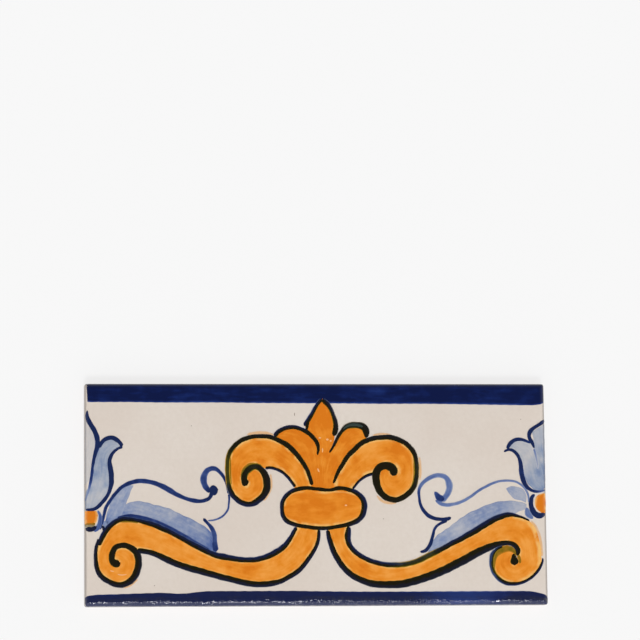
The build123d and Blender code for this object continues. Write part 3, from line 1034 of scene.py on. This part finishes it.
tulipLines = dict(blueLine, fade={
    0: ((0, 1.0), (0.1, 1.2), (0.5, 1.0), (0.75, 0.85), (0.88, 0.4), (1, 0.35)),
    1: ((0, 1.1), (1, 1.4)),
    2: ((0, 1.1), (0.4, 1.25), (0.7, 1.0), (1, 1.2)),
    3: ((0, 0.5), (0.5, 0.6), (1, 0.6)),
    4: ((0, 1.2), (1, 1.1)),
    5: ((0, 0.9), (1, 1.1)),
    6: ((0, 1.2), (0.4, 1.0), (0.85, 1.0), (0.93, 0.6), (1, 0.5)),
    7: ((0, 1.0), (0.5, 1.1), (1, 1.2)),
    8: ((0, 0.5), (0.4, 0.3), (1, 0.2)),
}, strokes=(
    [(-74.05, 27.25, 0.23), (-74.25, 26, 0.85), (-73.9, 24.5, 1.24), (-72.9, 22.5, 1.47),
     (-71.75, 20.5, 1.47), (-71, 18.75, 1.58), (-70.8, 17, 1.47), (-71, 15, 1.47), (-71.6, 13, 1.13),
     (-72.1, 11, 1.02), (-72.4, 9, 0.85), (-72.6, 7, 0.9), (-72.9, 5, 0.9), (-73.25, 3, 0.79),
     (-73.75, 1, 0.62), (-74.3, -0.6, 0.56), (-74.7, -2.2, 0.51)],
    [(-70.2, 15, 1.02), (-69.9, 16.25, 1.13), (-68.75, 17.6, 1.24), (-67.25, 18.3, 1.24),
     (-65.75, 18.35, 1.36), (-64.5, 17.6, 1.36), (-63.45, 16.6, 1.1), (-62.85, 15.5, 1.15)],
    [(-62.7, 15.35, 1.0), (-64, 14.95, 0.7), (-65.1, 14.25, 0.85), (-66.1, 13.1, 1.02),
     (-66.75, 11.75, 1.13), (-67, 10.1, 1.3), (-66.7, 8.5, 1.58), (-66.4, 6.75, 1.58), (-66.35, 5, 1.58),
     (-66.4, 3.5, 1.47), (-66.75, 1.75, 1.24), (-67.4, 0, 1.02), (-68.4, -1.5, 1.13), (-69.4, -2.75, 1.13),
     (-70.5, -3.9, 1.13), (-71.85, -4.8, 1.02), (-73.4, -5, 0.79), (-74.6, -4.95, 0.79)],
    [(-70.8, -5.2, 0.5), (-70.1, -6.6, 1.0), (-69.9, -8, 1.2), (-70.2, -9.7, 1.5), (-70.9, -11.1, 1.5),
     (-72.2, -11.9, 0.9)],
    [(74.85, 24.2, 0.5), (74.3, 23.4, 1.1), (73.3, 22.6, 1.1), (72.2, 22, 1), (71.2, 21.4, 1.1),
     (70.2, 20.4, 1.4), (69.7, 19.2, 1.2), (69.95, 18, 1.1), (70.5, 16.95, 1.2), (71.1, 15.9, 0.9),
     (71.4, 14.8, 0.4)],
    [(70.4, 16.6, 0.7), (69.4, 16.85, 0.7), (68.3, 17.4, 0.9), (67, 17.8, 1), (65.7, 17.7, 1.1),
     (64.4, 17.2, 1.2), (63.4, 16.3, 1.2), (62.8, 15.4, 1.1), (62.6, 14.5, 0.9)],
    [(61.4, 13.6, 0.7), (62.3, 14.2, 0.7), (63.5, 14.4, 0.9), (64.6, 13.95, 1), (65.6, 13, 1),
     (66.35, 11.55, 1), (66.8, 9.9, 1.2), (66.95, 8.3, 1.4), (67, 6.65, 1.5), (67.4, 5.05, 1.5),
     (67.9, 3.55, 1.5), (68.6, 2.2, 1.3), (69.6, 1.35, 1), (70.8, 0.8, 0.9), (72.2, 0.55, 0.8),
     (73.6, 0.75, 0.6), (74.7, 1.2, 0.5)],
    [(71.25, -0.25, 0.7), (70.3, -1.2, 1.2), (69.95, -2.75, 1.4), (70.0, -4.25, 1.5), (70.5, -5.7, 1.7),
     (71.4, -6.8, 1.8), (72.55, -7.4, 1.8), (73.75, -7.0, 1.5), (74.5, -6.5, 0.9)],
    [(71.3, 14.7, 0.5), (71.8, 12.6, 0.7), (72.3, 10, 0.6), (72.5, 8, 0.4)],
))
lineFinish = brushedPaint("cobalt line", blueLine["finish"])
paintStrokes("leaf_lines", lineFinish, leafLines)
paintStrokes("tulip_lines", lineFinish, tulipLines)

# Dark outlines

darkLine = {
    "lift": 0.10, "crown": 0.025, "swell": 0.09,
    "finish": {
        "stain": tone(22, 41, 98), "deepInk": tone(23, 29, 56),
        "deepFrom": 0.5, "deepTo": 0.95, "cover": 1.1,
        "overOrange": tone(214, 160, 40), "inkOnOrange": tone(28, 25, 12),
        "streakLength": 5.0, "streakLines": 1.5, "streak": 0.3, "mottleSize": 2.0, "mottle": 0.35,
        "rimFrom": 0.5, "rim": -0.6,
    },
}
scrollOutlines = dict(darkLine, fade={
    0: ((0, 0.8), (0.04, 1), (1, 1)),
    3: ((0, 1), (0.24, 1), (0.34, 0.6), (0.5, 0.55), (0.57, 1), (1, 1)),
    5: ((0, 0.8), (0.1, 0.6), (0.35, 0.55), (0.5, 0.9), (1, 0.9)),
}, soak={
    1: ((0, 0.2), (0.3, 0.4), (1, 0.5)),
    2: ((0, 1), (0.5, 0.6), (1, 0.4)),
    3: ((0, 0), (0.26, 0), (0.38, 0.9), (0.52, 0.9), (0.6, 0.1), (1, 0)),
    4: ((0, 0.2), (0.3, 0.6), (1, 0.6)),
    6: ((0, 1), (1, 1)),
}, strokes=(
    [(-70.35, -16.6, 1), (-69.7, -14.6, 1.5), (-68.5, -12.3, 1.6), (-67, -10.4, 1.6), (-65.2, -8.9, 1.5),
     (-62.6, -7.95, 1.35), (-60, -8.1, 1.25), (-57.9, -8.5, 1.1), (-55, -9.2, 1.45), (-52.6, -9.95, 1.6),
     (-50, -11.1, 1.65), (-47.4, -12.3, 1.45), (-44.7, -13.75, 1.45), (-42.1, -15.2, 1.5),
     (-39.7, -16.5, 1.7), (-37.4, -17.7, 1.7), (-35.2, -18.8, 1.6), (-32.9, -19.8, 1.7),
     (-30.6, -20.25, 1.9), (-28.4, -20.7, 1.65), (-26.1, -21.05, 1.6), (-23.8, -21.35, 1.5),
     (-21.5, -21.35, 1.5), (-19.3, -21.15, 1.55), (-17, -20.55, 1.6), (-14.7, -19.6, 1.75),
     (-12.4, -18.3, 1.75), (-10.6, -16.9, 1.6), (-9.2, -15.2, 1.35), (-8.2, -13.6, 1.2), (-7.4, -12.1, 1.1),
     (-6.6, -10.8, 1)],
    [(0.6, -11.6, 0.8), (0.6, -13.6, 0.95), (0.25, -15.5, 1), (-0.6, -17.65, 1.05), (-1.75, -19.55, 1.15),
     (-3.05, -21.35, 1.25), (-4.6, -23.4, 1.35), (-6.3, -25.05, 1.4), (-8.2, -26.35, 1.45),
     (-10.1, -27.35, 1.4), (-12, -28.35, 1.45), (-14.7, -28.95, 1.75), (-17, -29.2, 1.75),
     (-19.3, -29.3, 1.7), (-21.5, -29.05, 1.8), (-23.8, -28.7, 1.8), (-26.1, -28.1, 1.75),
     (-28.4, -27.5, 1.8), (-30.6, -27, 1.85), (-32.9, -26.3, 1.85), (-35.2, -25.7, 1.9), (-37.4, -25, 1.95),
     (-39.7, -24.45, 2), (-42, -23.7, 2), (-43.4, -23.3, 1.9), (-46.05, -22.3, 1.9), (-48.7, -21.1, 1.95),
     (-51.3, -19.8, 1.7), (-53.95, -18.85, 1.55), (-56.6, -18.35, 1.5), (-58.2, -18.2, 1.6)],
    [(-63.5, -22.3, 1.9), (-64.4, -22.5, 2.6), (-65.4, -22.3, 2.2), (-66.3, -21.4, 1.9), (-66.3, -20, 1.8),
     (-66.05, -18.8, 1.8), (-65.3, -17.3, 1.6), (-63.8, -16.65, 1.6), (-62.3, -16.45, 1.6),
     (-60.8, -16.95, 1.7), (-59.3, -17.95, 1.9), (-58.3, -19, 2), (-57.8, -20.5, 2.1), (-57.7, -22.3, 2),
     (-58, -24.2, 2.15), (-58.7, -26, 2.1), (-60, -27.7, 2), (-61.8, -28.9, 1.8), (-63.7, -29.3, 1.7),
     (-65.8, -28.9, 1.6), (-67.9, -27.85, 1.5), (-69.7, -26.5, 1.5), (-70.9, -24.6, 1.4),
     (-71.3, -22.5, 1.25), (-71.5, -20.3, 1.05), (-71.4, -18, 1), (-70.9, -15.8, 0.9),
     (-70.3, -14.4, 0.9)],
    [(10.35, -10.6, 1.1), (10.1, -12.5, 1.8), (9.95, -14.4, 1.8), (10.4, -16.4, 1.5), (11.45, -18, 1.4),
     (12.75, -19.2, 1.4), (14.4, -20.4, 1.35), (16.3, -21.35, 1.35), (18.5, -22.2, 1.35),
     (20.9, -22.8, 1.4), (23.2, -23.1, 1.5), (25.6, -23.15, 1.6), (28, -23, 1.6), (30.4, -22.6, 1.6),
     (32.8, -21.8, 1.7), (34.7, -20.95, 1.8), (36.6, -19.95, 1.8), (38.5, -19.05, 1.7), (40.4, -18.1, 1.5),
     (42.3, -17.05, 1.5), (44.2, -16, 1.55), (46, -15.2, 1.6), (48.5, -13.8, 1.7), (51, -12.45, 1.9),
     (53.5, -10.9, 1.9), (56, -9.4, 1.9), (58.5, -8.1, 1.8), (60, -7.55, 1.75), (61.5, -7.05, 1.6),
     (62.6, -6.9, 1.45), (64, -7, 1.05), (65.5, -7.35, 0.8), (67, -7.8, 0.55), (68.25, -8.35, 0.45),
     (69.4, -8.95, 0.35)],
    [(3.4, -11.7, 0.9), (3.75, -13.6, 1.3), (4.3, -15.8, 1.5), (5, -17.9, 1.6), (5.75, -19.6, 1.7),
     (6.8, -21.5, 1.7), (8.1, -23.4, 1.7), (9.55, -25.05, 1.75), (11.3, -26.5, 1.8), (13.2, -27.55, 1.85),
     (15.4, -28.5, 1.9), (17.8, -29.2, 2.1), (20.1, -29.45, 2.1), (23.2, -29.5, 2.2), (25.1, -29.5, 2.3),
     (27.5, -29.3, 2.35), (29.9, -28.8, 2.4), (32.3, -28.15, 2.4), (34.7, -27.4, 2.45), (37, -26.6, 2.5),
     (39.4, -25.65, 2.5), (41.8, -24.6, 2.55), (44.2, -23.4, 2.6), (46.4, -22.3, 2.6), (48.5, -21.25, 2.6),
     (50, -20.4, 2.6), (52, -19.25, 2.5), (54, -18.4, 2.35), (56, -17.5, 2.2), (58, -16.8, 1.9),
     (60, -16.3, 1.5), (62, -16.05, 1.3), (63.5, -16.35, 1.4), (64.75, -17.2, 1.5), (65.5, -18.4, 1.5),
     (65.4, -19.4, 1.2), (65.1, -20.2, 0.8)],
    [(60.4, -17.3, 0.7), (59.2, -17.7, 0.9), (58, -18.5, 1.1), (57, -19.75, 1.6), (56.7, -21.5, 1.55),
     (56.65, -23.25, 1.5), (57, -25, 1.5), (58, -26.75, 1.4), (59.5, -28.25, 1.3), (61.5, -29.2, 1.2),
     (63.5, -29.45, 1.1), (65.75, -29.25, 0.9), (67.75, -28.5, 0.8), (69.25, -27.75, 0.8),
     (70.75, -26.4, 0.8), (72, -25, 0.8), (72.9, -23.5, 0.7), (73.4, -22.1, 0.5), (73.5, -21, 0.3)],
    [(63.9, -19.6, 0.8), (64, -20.5, 1.2), (64.15, -21.7, 2.4), (64.2, -22.6, 3), (64.2, -23.4, 2.2)],
))
knotOutline = dict(darkLine, closed=True, soak={
    0: ((0, 0.2), (0.25, 0), (0.5, 0), (0.62, 0.6), (0.85, 0.7), (0.95, 0.1), (1, 0.2)),
}, strokes=(
    [(-11.3, -3.85, 1.15), (-11, -2.3, 1.2), (-10.1, -0.8, 1.2), (-8.8, 0.4, 1.2), (-7.2, 1.2, 1.2),
     (-5.4, 1.7, 1.2), (-3.4, 1.95, 1.1), (-1.3, 1.75, 1), (0.5, 1.6, 1), (2.2, 1.3, 1.1), (3.8, 1.2, 0.8),
     (5.3, 1.4, 1), (6.8, 1.8, 1.2), (8.6, 1.8, 1.1), (10.5, 1.35, 1.2), (12.3, 0.7, 1.3),
     (13.8, -0.3, 1.5), (15, -1.6, 1.6), (15.5, -3.3, 1.7), (15.45, -5, 1.75), (15, -6.7, 1.7),
     (13.9, -8.2, 1.5), (12.2, -9.3, 1.5), (10, -10, 1.3), (7.6, -10.5, 1.1), (5.2, -10.9, 1.1),
     (2.6, -11.2, 1.1), (0, -11.1, 1.1), (-2.6, -10.8, 1.1), (-5.2, -10.4, 1.1), (-7.4, -9.9, 1.2),
     (-9.2, -9.2, 1.3), (-10.5, -8, 1.3), (-11.2, -6.3, 1.2)],
))
palmetteOutlines = dict(darkLine, fade={
    0: ((0, 1), (0.5, 0.8), (1, 1)),
    2: ((0, 1), (0.4, 0.7), (0.7, 0.8), (1, 1.1)),
    4: ((0, 1), (0.45, 0.8), (0.6, 0.75), (0.8, 1), (1, 1.1)),
    5: ((0, 0.9), (0.3, 1), (0.42, 0.8), (0.47, 0.5), (0.56, 0.5), (0.61, 1), (0.86, 1), (0.9, 0.6),
        (0.95, 0.75), (1, 1.2)),
    7: ((0, 0.9), (0.3, 1), (0.46, 0.9), (0.52, 0.6), (0.6, 0.65), (0.66, 1), (1, 1)),
}, soak={
    2: ((0, 0.3), (0.5, 0.6), (1, 1)),
    3: ((0, 0.3), (0.5, 0.2), (1, 0.7)),
    4: ((0, 0.6), (0.5, 0.8), (1, 0.9)),
    5: ((0, 0.3), (0.1, 0.6), (0.3, 0.8), (0.45, 1), (0.56, 1), (0.61, 0.1), (0.71, 0.1), (0.77, 0.8),
        (1, 1)),
    7: ((0, 0.4), (0.12, 0.7), (0.6, 0.9), (1, 1)),
}, strokes=(
    [(-3.8, 22.1, 1), (-3.05, 23.2, 1.3), (-2.1, 24.7, 1.3), (-1.15, 26.25, 1.2), (-0.1, 28.15, 1.1),
     (0.75, 29.6, 1), (1.7, 30.65, 1.2), (2.15, 30.9, 1.3)],
    [(-3, 20.6, 0.6), (-2.9, 22, 0.8), (-2.4, 23.8, 0.7)],
    [(2.2, 30.8, 1.3), (3.6, 29.6, 1.5), (4.8, 27.9, 1.2), (5.6, 26, 1.2), (6.2, 24, 1.4), (6.5, 22.3, 1.5),
     (6.4, 20.8, 1.7), (6, 19.5, 1.5), (5.6, 18.9, 1)],
    [(-13.5, 18.6, 1.3), (-12.7, 19.85, 1.3), (-11.1, 21, 1.2), (-9.4, 21.6, 1.2), (-7.7, 21.75, 1.2),
     (-6.05, 21.6, 1.1), (-4.6, 21, 1.1), (-3.2, 20.3, 1.3), (-1.75, 19.25, 1.2), (-0.55, 17.95, 1.2),
     (0.4, 16.4, 1.1), (0.75, 14.95, 0.9), (0.6, 13.5, 0.6), (0.4, 12.6, 0.3)],
    [(4.3, 13.4, 0.4), (5.15, 14.7, 0.6), (6.1, 16.4, 0.8), (6.8, 17.8, 0.9), (7.4, 19, 1), (8.25, 20.2, 1),
     (9.4, 21.5, 1.4), (10.9, 22.3, 1.8), (12.75, 22.45, 1.9), (14.7, 22.2, 2), (16, 21.4, 2.2),
     (16.45, 20.2, 2), (16.45, 18.8, 1.3), (16.3, 18.2, 0.8)],
    [(-1.5, 2.8, 1.1), (-2, 4.95, 1.1), (-2.7, 7.1, 1.2), (-3.8, 9.25, 1.3), (-5.1, 11.25, 1.4),
     (-6.75, 13.3, 1.5), (-8.65, 15.3, 1.6), (-10.55, 16.6, 1.5), (-12.7, 17.7, 1.3), (-14.3, 18.35, 1.3),
     (-16.1, 18.75, 1.25), (-18.1, 18.8, 1.2), (-20.2, 18.7, 1.2), (-22, 18.35, 1.3), (-23.8, 17.7, 1.3),
     (-25.4, 16.65, 1.3), (-26.9, 15.3, 1.35), (-28, 13.6, 1.4), (-28.6, 12, 1.4), (-28.85, 10.2, 1.4),
     (-28.9, 8.1, 1.4), (-28.85, 6.1, 1.35), (-28.65, 4, 1.4), (-28.45, 2.5, 1.55), (-28, 1, 1.6),
     (-27.5, 0, 1.5), (-26.9, -0.9, 1.5), (-26, -1.6, 1.5), (-25, -2.5, 1.5), (-23.75, -3.1, 1.6),
     (-22.4, -3.4, 1.5), (-21.25, -3.3, 1.6), (-20.1, -2.9, 1.8), (-19, -2.1, 1.9), (-17.9, -1.25, 1.9),
     (-17, -0.1, 2), (-16.4, 1, 2.1), (-16, 2.25, 2.2), (-16.1, 3.75, 2.2), (-16.3, 5.1, 2.2),
     (-16.7, 6.25, 2.1), (-17.25, 7.25, 1.9), (-18, 8, 1.8), (-19, 8.9, 2), (-20, 8.9, 2.1),
     (-21, 8.75, 2.2), (-22, 8.1, 2.2), (-23, 7, 2.1), (-23.5, 5.6, 1.9), (-23.4, 4.2, 1.9),
     (-22.95, 3.3, 2.7), (-22.5, 2.8, 2.4)],
    [(-16.6, 8.25, 0.9), (-15.75, 8.55, 0.8), (-14.6, 8.5, 0.8), (-13.5, 8.2, 0.8), (-12.7, 8, 0.8),
     (-11.1, 7.1, 0.8), (-9.7, 5.9, 0.8), (-8.4, 4.4, 0.8), (-7.5, 3.05, 0.8), (-6.9, 2.2, 0.8)],
    [(5.5, 3.4, 0.6), (6.1, 4.85, 0.8), (6.8, 6.6, 1), (7.9, 8.5, 1.2), (9.2, 10.65, 1.3),
     (10.6, 12.6, 1.4), (12.3, 14.25, 1.5), (13.95, 15.8, 1.5), (15.6, 17, 1.5), (17.5, 17.7, 1.4),
     (19.4, 18.2, 1.4), (21.8, 18.4, 1.4), (23.2, 18.5, 1.5), (25.1, 18.2, 1.5), (27, 17.6, 1.5),
     (28.7, 16.75, 1.4), (30.1, 15.7, 1.4), (31.3, 14.35, 1.4), (32.05, 13.05, 1.4), (32.45, 11.4, 1.3),
     (32.7, 9.7, 1.55), (32.7, 7.8, 1.6), (32.6, 5.9, 1.5), (32.3, 4, 1.6), (31.7, 2.3, 1.6),
     (30.75, 0.9, 1.6), (29.55, -0.3, 1.6), (28, -1.25, 1.6), (26.1, -2.05, 1.6), (24.4, -1.9, 1.7),
     (22.75, -1.3, 1.8), (21.3, -0.15, 1.9), (20.4, 1.05, 2), (19.9, 2.3, 2.1), (19.4, 4.5, 2.3),
     (19.4, 6.4, 2.4), (20.1, 8.05, 2.3), (21.6, 9.1, 2.3), (22.8, 9.2, 2.4), (24.2, 8.75, 2.6),
     (25.25, 7.8, 2.6), (25.1, 6.6, 2.4), (24.8, 5.8, 1.8)],
    [(18.7, 6.5, 0.8), (17.3, 6.25, 0.8), (15.9, 5.65, 0.8), (14.4, 4.6, 0.7), (13.2, 3.4, 0.65),
     (12.3, 2.3, 0.6), (11.7, 1.6, 0.7)],
))
darkFinish = brushedPaint("dark outline", darkLine["finish"])
paintStrokes("scroll_outlines", darkFinish, scrollOutlines)
paintStrokes("knot_outline", darkFinish, knotOutline)
paintStrokes("palmette_outlines", darkFinish, palmetteOutlines)

# Touches: paint that bled out yellow, olive where two paints ran together, specks, and painted highlights:
# glints and a sheen

touchFinish = {
    "stain": tone(255, 255, 255), "deepFrom": 0.0, "deepTo": 1.0,  # no stain: the touch's own tone covers
    "overOrange": tone(228, 140, 44),
    "streakLength": 4.0, "streakLines": 1.5, "streak": 0.5, "mottleSize": 1.6, "mottle": 0.6,
    "rimFrom": 0.5, "rim": -0.3,
}
touches = {
    "yellow_bleeds": {
        "slot": "orange_paint", "lift": 0.04, "crown": 0.008, "tone": tone(224, 160, 70), "cover": 0.62,
        "strokes": (
            [(-22.4, 19.3, 0.48), (-21.3, 19.6, 0.96), (-18, 20, 1.12), (-15, 19.6, 0.96),
             (-13.8, 19.2, 0.48)],
            [(-14.9, 6.5, 0.48), (-14.6, 4, 0.8), (-14.8, 2, 0.8), (-15.6, 0, 0.8), (-16.6, -1.6, 0.8),
             (-17.2, -2.2, 0.48)],
            [(18.5, 19.1, 0.48), (20.2, 19.4, 0.8), (22.5, 19.5, 0.8), (24.5, 19.2, 0.48)],
            [(33.6, 12, 0.48), (33.8, 10.5, 0.8), (34, 7, 0.8), (33.7, 4.4, 0.48)],
            [(19.6, -0.6, 0.48), (20.6, -1.8, 0.96), (22, -2.7, 0.96), (24, -3.1, 0.96),
             (26, -2.9, 0.64)],
            [(-62.5, -30.3, 0.48), (-60, -29.3, 0.64), (-58, -27.4, 0.48)],
            [(69.9, -9.0, 0.5), (71.0, -10.4, 1.0), (71.8, -12.1, 1.2), (72.5, -14, 1.2),
             (72.95, -16.5, 1.1), (73.2, -19, 0.9), (73.3, -20.5, 0.6)],
        ),
    },
    "olive_runs": {
        "slot": "outline_paint", "lift": 0.085, "crown": 0.015, "tone": tone(112, 96, 20), "cover": 0.85,
        "strokes": (
            [(57.6, -25.2, 0.5), (57.4, -23.2, 1.1), (57.5, -21.2, 1.6), (58.2, -19.6, 2.1),
             (59.6, -18.6, 2.3), (61.2, -18.0, 2.2), (62.8, -17.9, 2.0), (64.3, -18.7, 1.7),
             (64.8, -20, 0.9)],
            [(64.8, -19.6, 0.8), (65.7, -20.6, 1.0), (66.1, -21.8, 0.9), (65.9, -22.8, 0.6)],
            [(-24.3, 5.6, 0.6), (-24.0, 7, 1.0), (-22.9, 8.6, 1.3), (-21.4, 9.6, 1.2), (-19.6, 9.7, 0.9)],
            [(-28.1, 13.2, 0.4), (-28.0, 10, 0.7), (-28.0, 6, 0.7), (-27.7, 3, 0.5)],
            [(-64.6, -8.9, 0.5), (-62.6, -8.8, 0.7), (-60, -8.9, 0.6), (-57.8, -9.3, 0.4)],
            [(-74.9, -9.7, 1.2), (-73.8, -10.1, 1.6), (-72.6, -10.1, 1.5), (-71.6, -9.4, 0.9)],
            [(31.9, 13, 0.4), (32.0, 9, 0.7), (31.8, 5, 0.6), (31, 2.4, 0.4)],
            [(3.4, 29.6, 0.5), (4.6, 27.6, 0.8), (5.3, 25.6, 0.6)],
        ),
    },
    "navy_drops": {
        "slot": "outline_paint", "lift": 0.105, "crown": 0.02, "tone": tone(24, 30, 56), "cover": 1.3,
        "strokes": (
            [(-74.6, -10.9, 1.1), (-73.8, -11.4, 1.6), (-72.8, -11.4, 1.7), (-71.8, -10.9, 1.3),
             (-71.2, -10.3, 0.7)],
            [(-69.5, -10.2, 0.7), (-68.8, -11.0, 1.0), (-68.9, -12, 0.7)],
        ),
    },
    # painted highlight: a grey-green sheen along the top of the right lobe's dark outline
    "green_sheen": {
        "slot": "outline_paint", "lift": 0.13, "crown": 0.01, "tone": tone(54, 66, 62), "cover": 1.5,
        "strokes": (
            [(8.9, 21.1, 0.4), (10.2, 22.1, 0.7), (12, 22.55, 0.9), (13.9, 22.4, 0.9), (15.4, 21.8, 0.5)],
        ),
    },
    # painted highlights: pale spots on the orange standing in for glints of light in the glaze
    "glints": {
        "slot": "tin_glaze", "lift": 0.085, "crown": 0.01, "tone": tone(250, 214, 168), "cover": 0.55,
        "strokes": (
            [(0.8, 18.2, 0.3), (1.2, 18.25, 0.5), (1.7, 18.2, 0.3)],
            [(3.3, 17.6, 0.6), (3.7, 17.7, 0.8), (4.1, 17.6, 0.6)],
            [(4.5, 17.2, 0.5), (4.8, 17.3, 0.7), (5.1, 17.2, 0.5)],
            [(2.1, 14.9, 0.3), (2.1, 14.2, 0.45), (2.0, 13.5, 0.3)],
            [(0.4, 8.3, 0.3), (0.6, 7.8, 0.5), (0.9, 7.1, 0.3)],
            [(-64.5, -25.8, 0.3), (-63, -26.1, 0.4), (-61.5, -25.9, 0.3)],
            [(-66.8, -24.6, 0.3), (-66.2, -24.9, 0.5), (-65.6, -24.9, 0.3)],
            [(9.1, -3.7, 0.4), (9.5, -3.75, 0.6), (9.9, -3.7, 0.4)],
        ),
    },
    "specks": {
        "slot": "tin_glaze", "lift": 0.03, "crown": 0.01, "tone": tone(128, 112, 96), "cover": 0.8,
        "strokes": (
            [(-40.6, 22.2, 0.3), (-40.45, 22.2, 0.4), (-40.3, 22.2, 0.3)],
            [(-52.75, -29.5, 0.3), (-52.6, -29.55, 0.45), (-52.45, -29.6, 0.3)],
            [(-6.9, 26.5, 0.2), (-6.9, 26, 0.3), (-6.85, 25.4, 0.2)],
            [(21.5, -8.15, 0.3), (21.65, -8.15, 0.45), (21.8, -8.2, 0.3)],
            [(67.0, 24.3, 0.3), (67.1, 24.3, 0.35), (67.25, 24.35, 0.3)],
        ),
    },
}
for name, touch in touches.items():
    finish = brushedPaint(name.replace("_", " "), dict(
        touchFinish, cover=touch["cover"], deepInk=touch["tone"], inkOnOrange=touch["tone"]))
    paintStrokes(name, finish, touch)

# Studio

studio = {
    "floor": tone(247, 247, 247),
    "floorSize": 3.0,      # m, half its side
    "floorPoints": 9,      # along a side
    "floorRoughness": 0.9,
    "horizon": tone(248, 248, 248),
    "keepShadow": 0.15,    # how much of the floor's own shading the camera sees
    # the room's light by height, then how it falls towards the back, and the heights where that starts
    "room": ((0.0, 0.92), (0.14, 0.92), (0.35, 0.85), (0.72, 0.6), (0.93, 0.10), (1.0, 0.06)),
    "behind": (-0.3, 0.5, 1.0, 0.35),
    "behindFrom": (0.14, 0.32),
    "suns": (  # name, strength, degrees above the floor in front of the tile, turn, spread in degrees
        ("window", 0.75, 49.0, -5.0, 60.0),
        ("lamp", 1.55, 63.0, -4.0, 11.0),
    ),
    "cameraPlace": (-0.1015, -0.1219, 1.1895),  # m
    "cameraTurn": (8.63, -4.90, -0.62),         # degrees
    "focal": 206.8,                             # mm
    "sensor": 36.0,                             # mm
}


# The floor is a plain grid. The camera sees it as an even pale tone with a share of its own shading.
def buildFloor():
    side = np.linspace(-studio["floorSize"], studio["floorSize"], studio["floorPoints"])
    x, y = np.meshgrid(side, side, indexing="ij")
    ids = np.arange(x.size).reshape(x.shape)
    cells = [ids[:-1, :-1], ids[1:, :-1], ids[1:, 1:], ids[:-1, 1:]]
    mesh = meshFrom("floor", np.stack([x, y, np.zeros_like(x)], -1).reshape(-1, 3) / mm,
                    np.stack([c.ravel() for c in cells], -1), {})
    floor = bpy.data.objects.new("floor", mesh)
    bpy.context.scene.collection.objects.link(floor)
    material, tree, shader = newMaterial("pale floor")
    shader.inputs["Base Color"].default_value = studio["floor"]
    shader.inputs["Roughness"].default_value = studio["floorRoughness"]
    shader.inputs["Specular IOR Level"].default_value = 0.0
    rays = addNode(tree, "ShaderNodeLightPath")
    seen = maths(tree, "MAXIMUM", rays.outputs["Is Camera Ray"], rays.outputs["Is Glossy Ray"])
    seen = maths(tree, "MAXIMUM", seen, rays.outputs["Is Transmission Ray"])
    even = addNode(tree, "ShaderNodeEmission", None, Color=studio["horizon"], Strength=1.0)
    mixed = tree.nodes.new("ShaderNodeMixShader")
    plug(tree, mixed.inputs[0], maths(tree, "MULTIPLY", seen, 1 - studio["keepShadow"]))
    tree.links.new(shader.outputs[0], mixed.inputs[1])
    tree.links.new(even.outputs[0], mixed.inputs[2])
    tree.links.new(mixed.outputs[0], tree.nodes["Material Output"].inputs["Surface"])
    mesh.materials.append(material)


# The room as a gradient of the direction's height: pale at the horizon, dim overhead so that the
# glaze stays deep, and a little less behind the tile than in front of it.
def buildRoom():
    world = bpy.data.worlds.new("soft room")
    bpy.context.scene.world = world
    world.use_nodes = True
    tree = world.node_tree
    back = tree.nodes["Background"]
    way = addNode(tree, "ShaderNodeSeparateXYZ", None,
                  Vector=addNode(tree, "ShaderNodeTexCoord").outputs["Generated"])
    ramp = tree.nodes.new("ShaderNodeValToRGB")
    elements = ramp.color_ramp.elements
    while len(elements) < len(studio["room"]):
        elements.new(0.5)
    for element, (where, level) in zip(elements, studio["room"]):
        element.position = where
        element.color = (level, level, level, 1.0)
    plug(tree, ramp.inputs[0], way.outputs["Z"])
    dim = spread(tree, way.outputs["Y"], *studio["behind"], "SMOOTHSTEP")
    above = spread(tree, way.outputs["Z"], *studio["behindFrom"])
    dim = maths(tree, "ADD", 1.0, maths(tree, "MULTIPLY", above, maths(tree, "SUBTRACT", dim, 1.0)))
    plug(tree, back.inputs["Color"], ramp.outputs[0])
    plug(tree, back.inputs["Strength"], dim)


# A sun shines straight down, so it is tipped by what its height lacks to 90 degrees, then turned
# about the upright.
def buildSun(name, strength, height, turn, spreadAngle):
    light = bpy.data.lights.new(name, "SUN")
    light.energy = strength
    light.angle = math.radians(spreadAngle)
    sun = bpy.data.objects.new(name, light)
    bpy.context.scene.collection.objects.link(sun)
    sun.rotation_euler = (math.radians(90 - height), 0, math.radians(turn))


def buildCamera():
    data = bpy.data.cameras.new("camera")
    data.lens = studio["focal"]
    data.sensor_width = studio["sensor"]
    data.clip_start = 0.01
    camera = bpy.data.objects.new("camera", data)
    bpy.context.scene.collection.objects.link(camera)
    camera.location = studio["cameraPlace"]
    camera.rotation_euler = tuple(math.radians(angle) for angle in studio["cameraTurn"])
    bpy.context.scene.camera = camera


buildFloor()
buildRoom()
for sunLook in studio["suns"]:
    buildSun(*sunLook)
buildCamera()
bpy.context.scene.view_settings.view_transform = "Standard"
print("studio: floor, room, suns and camera")
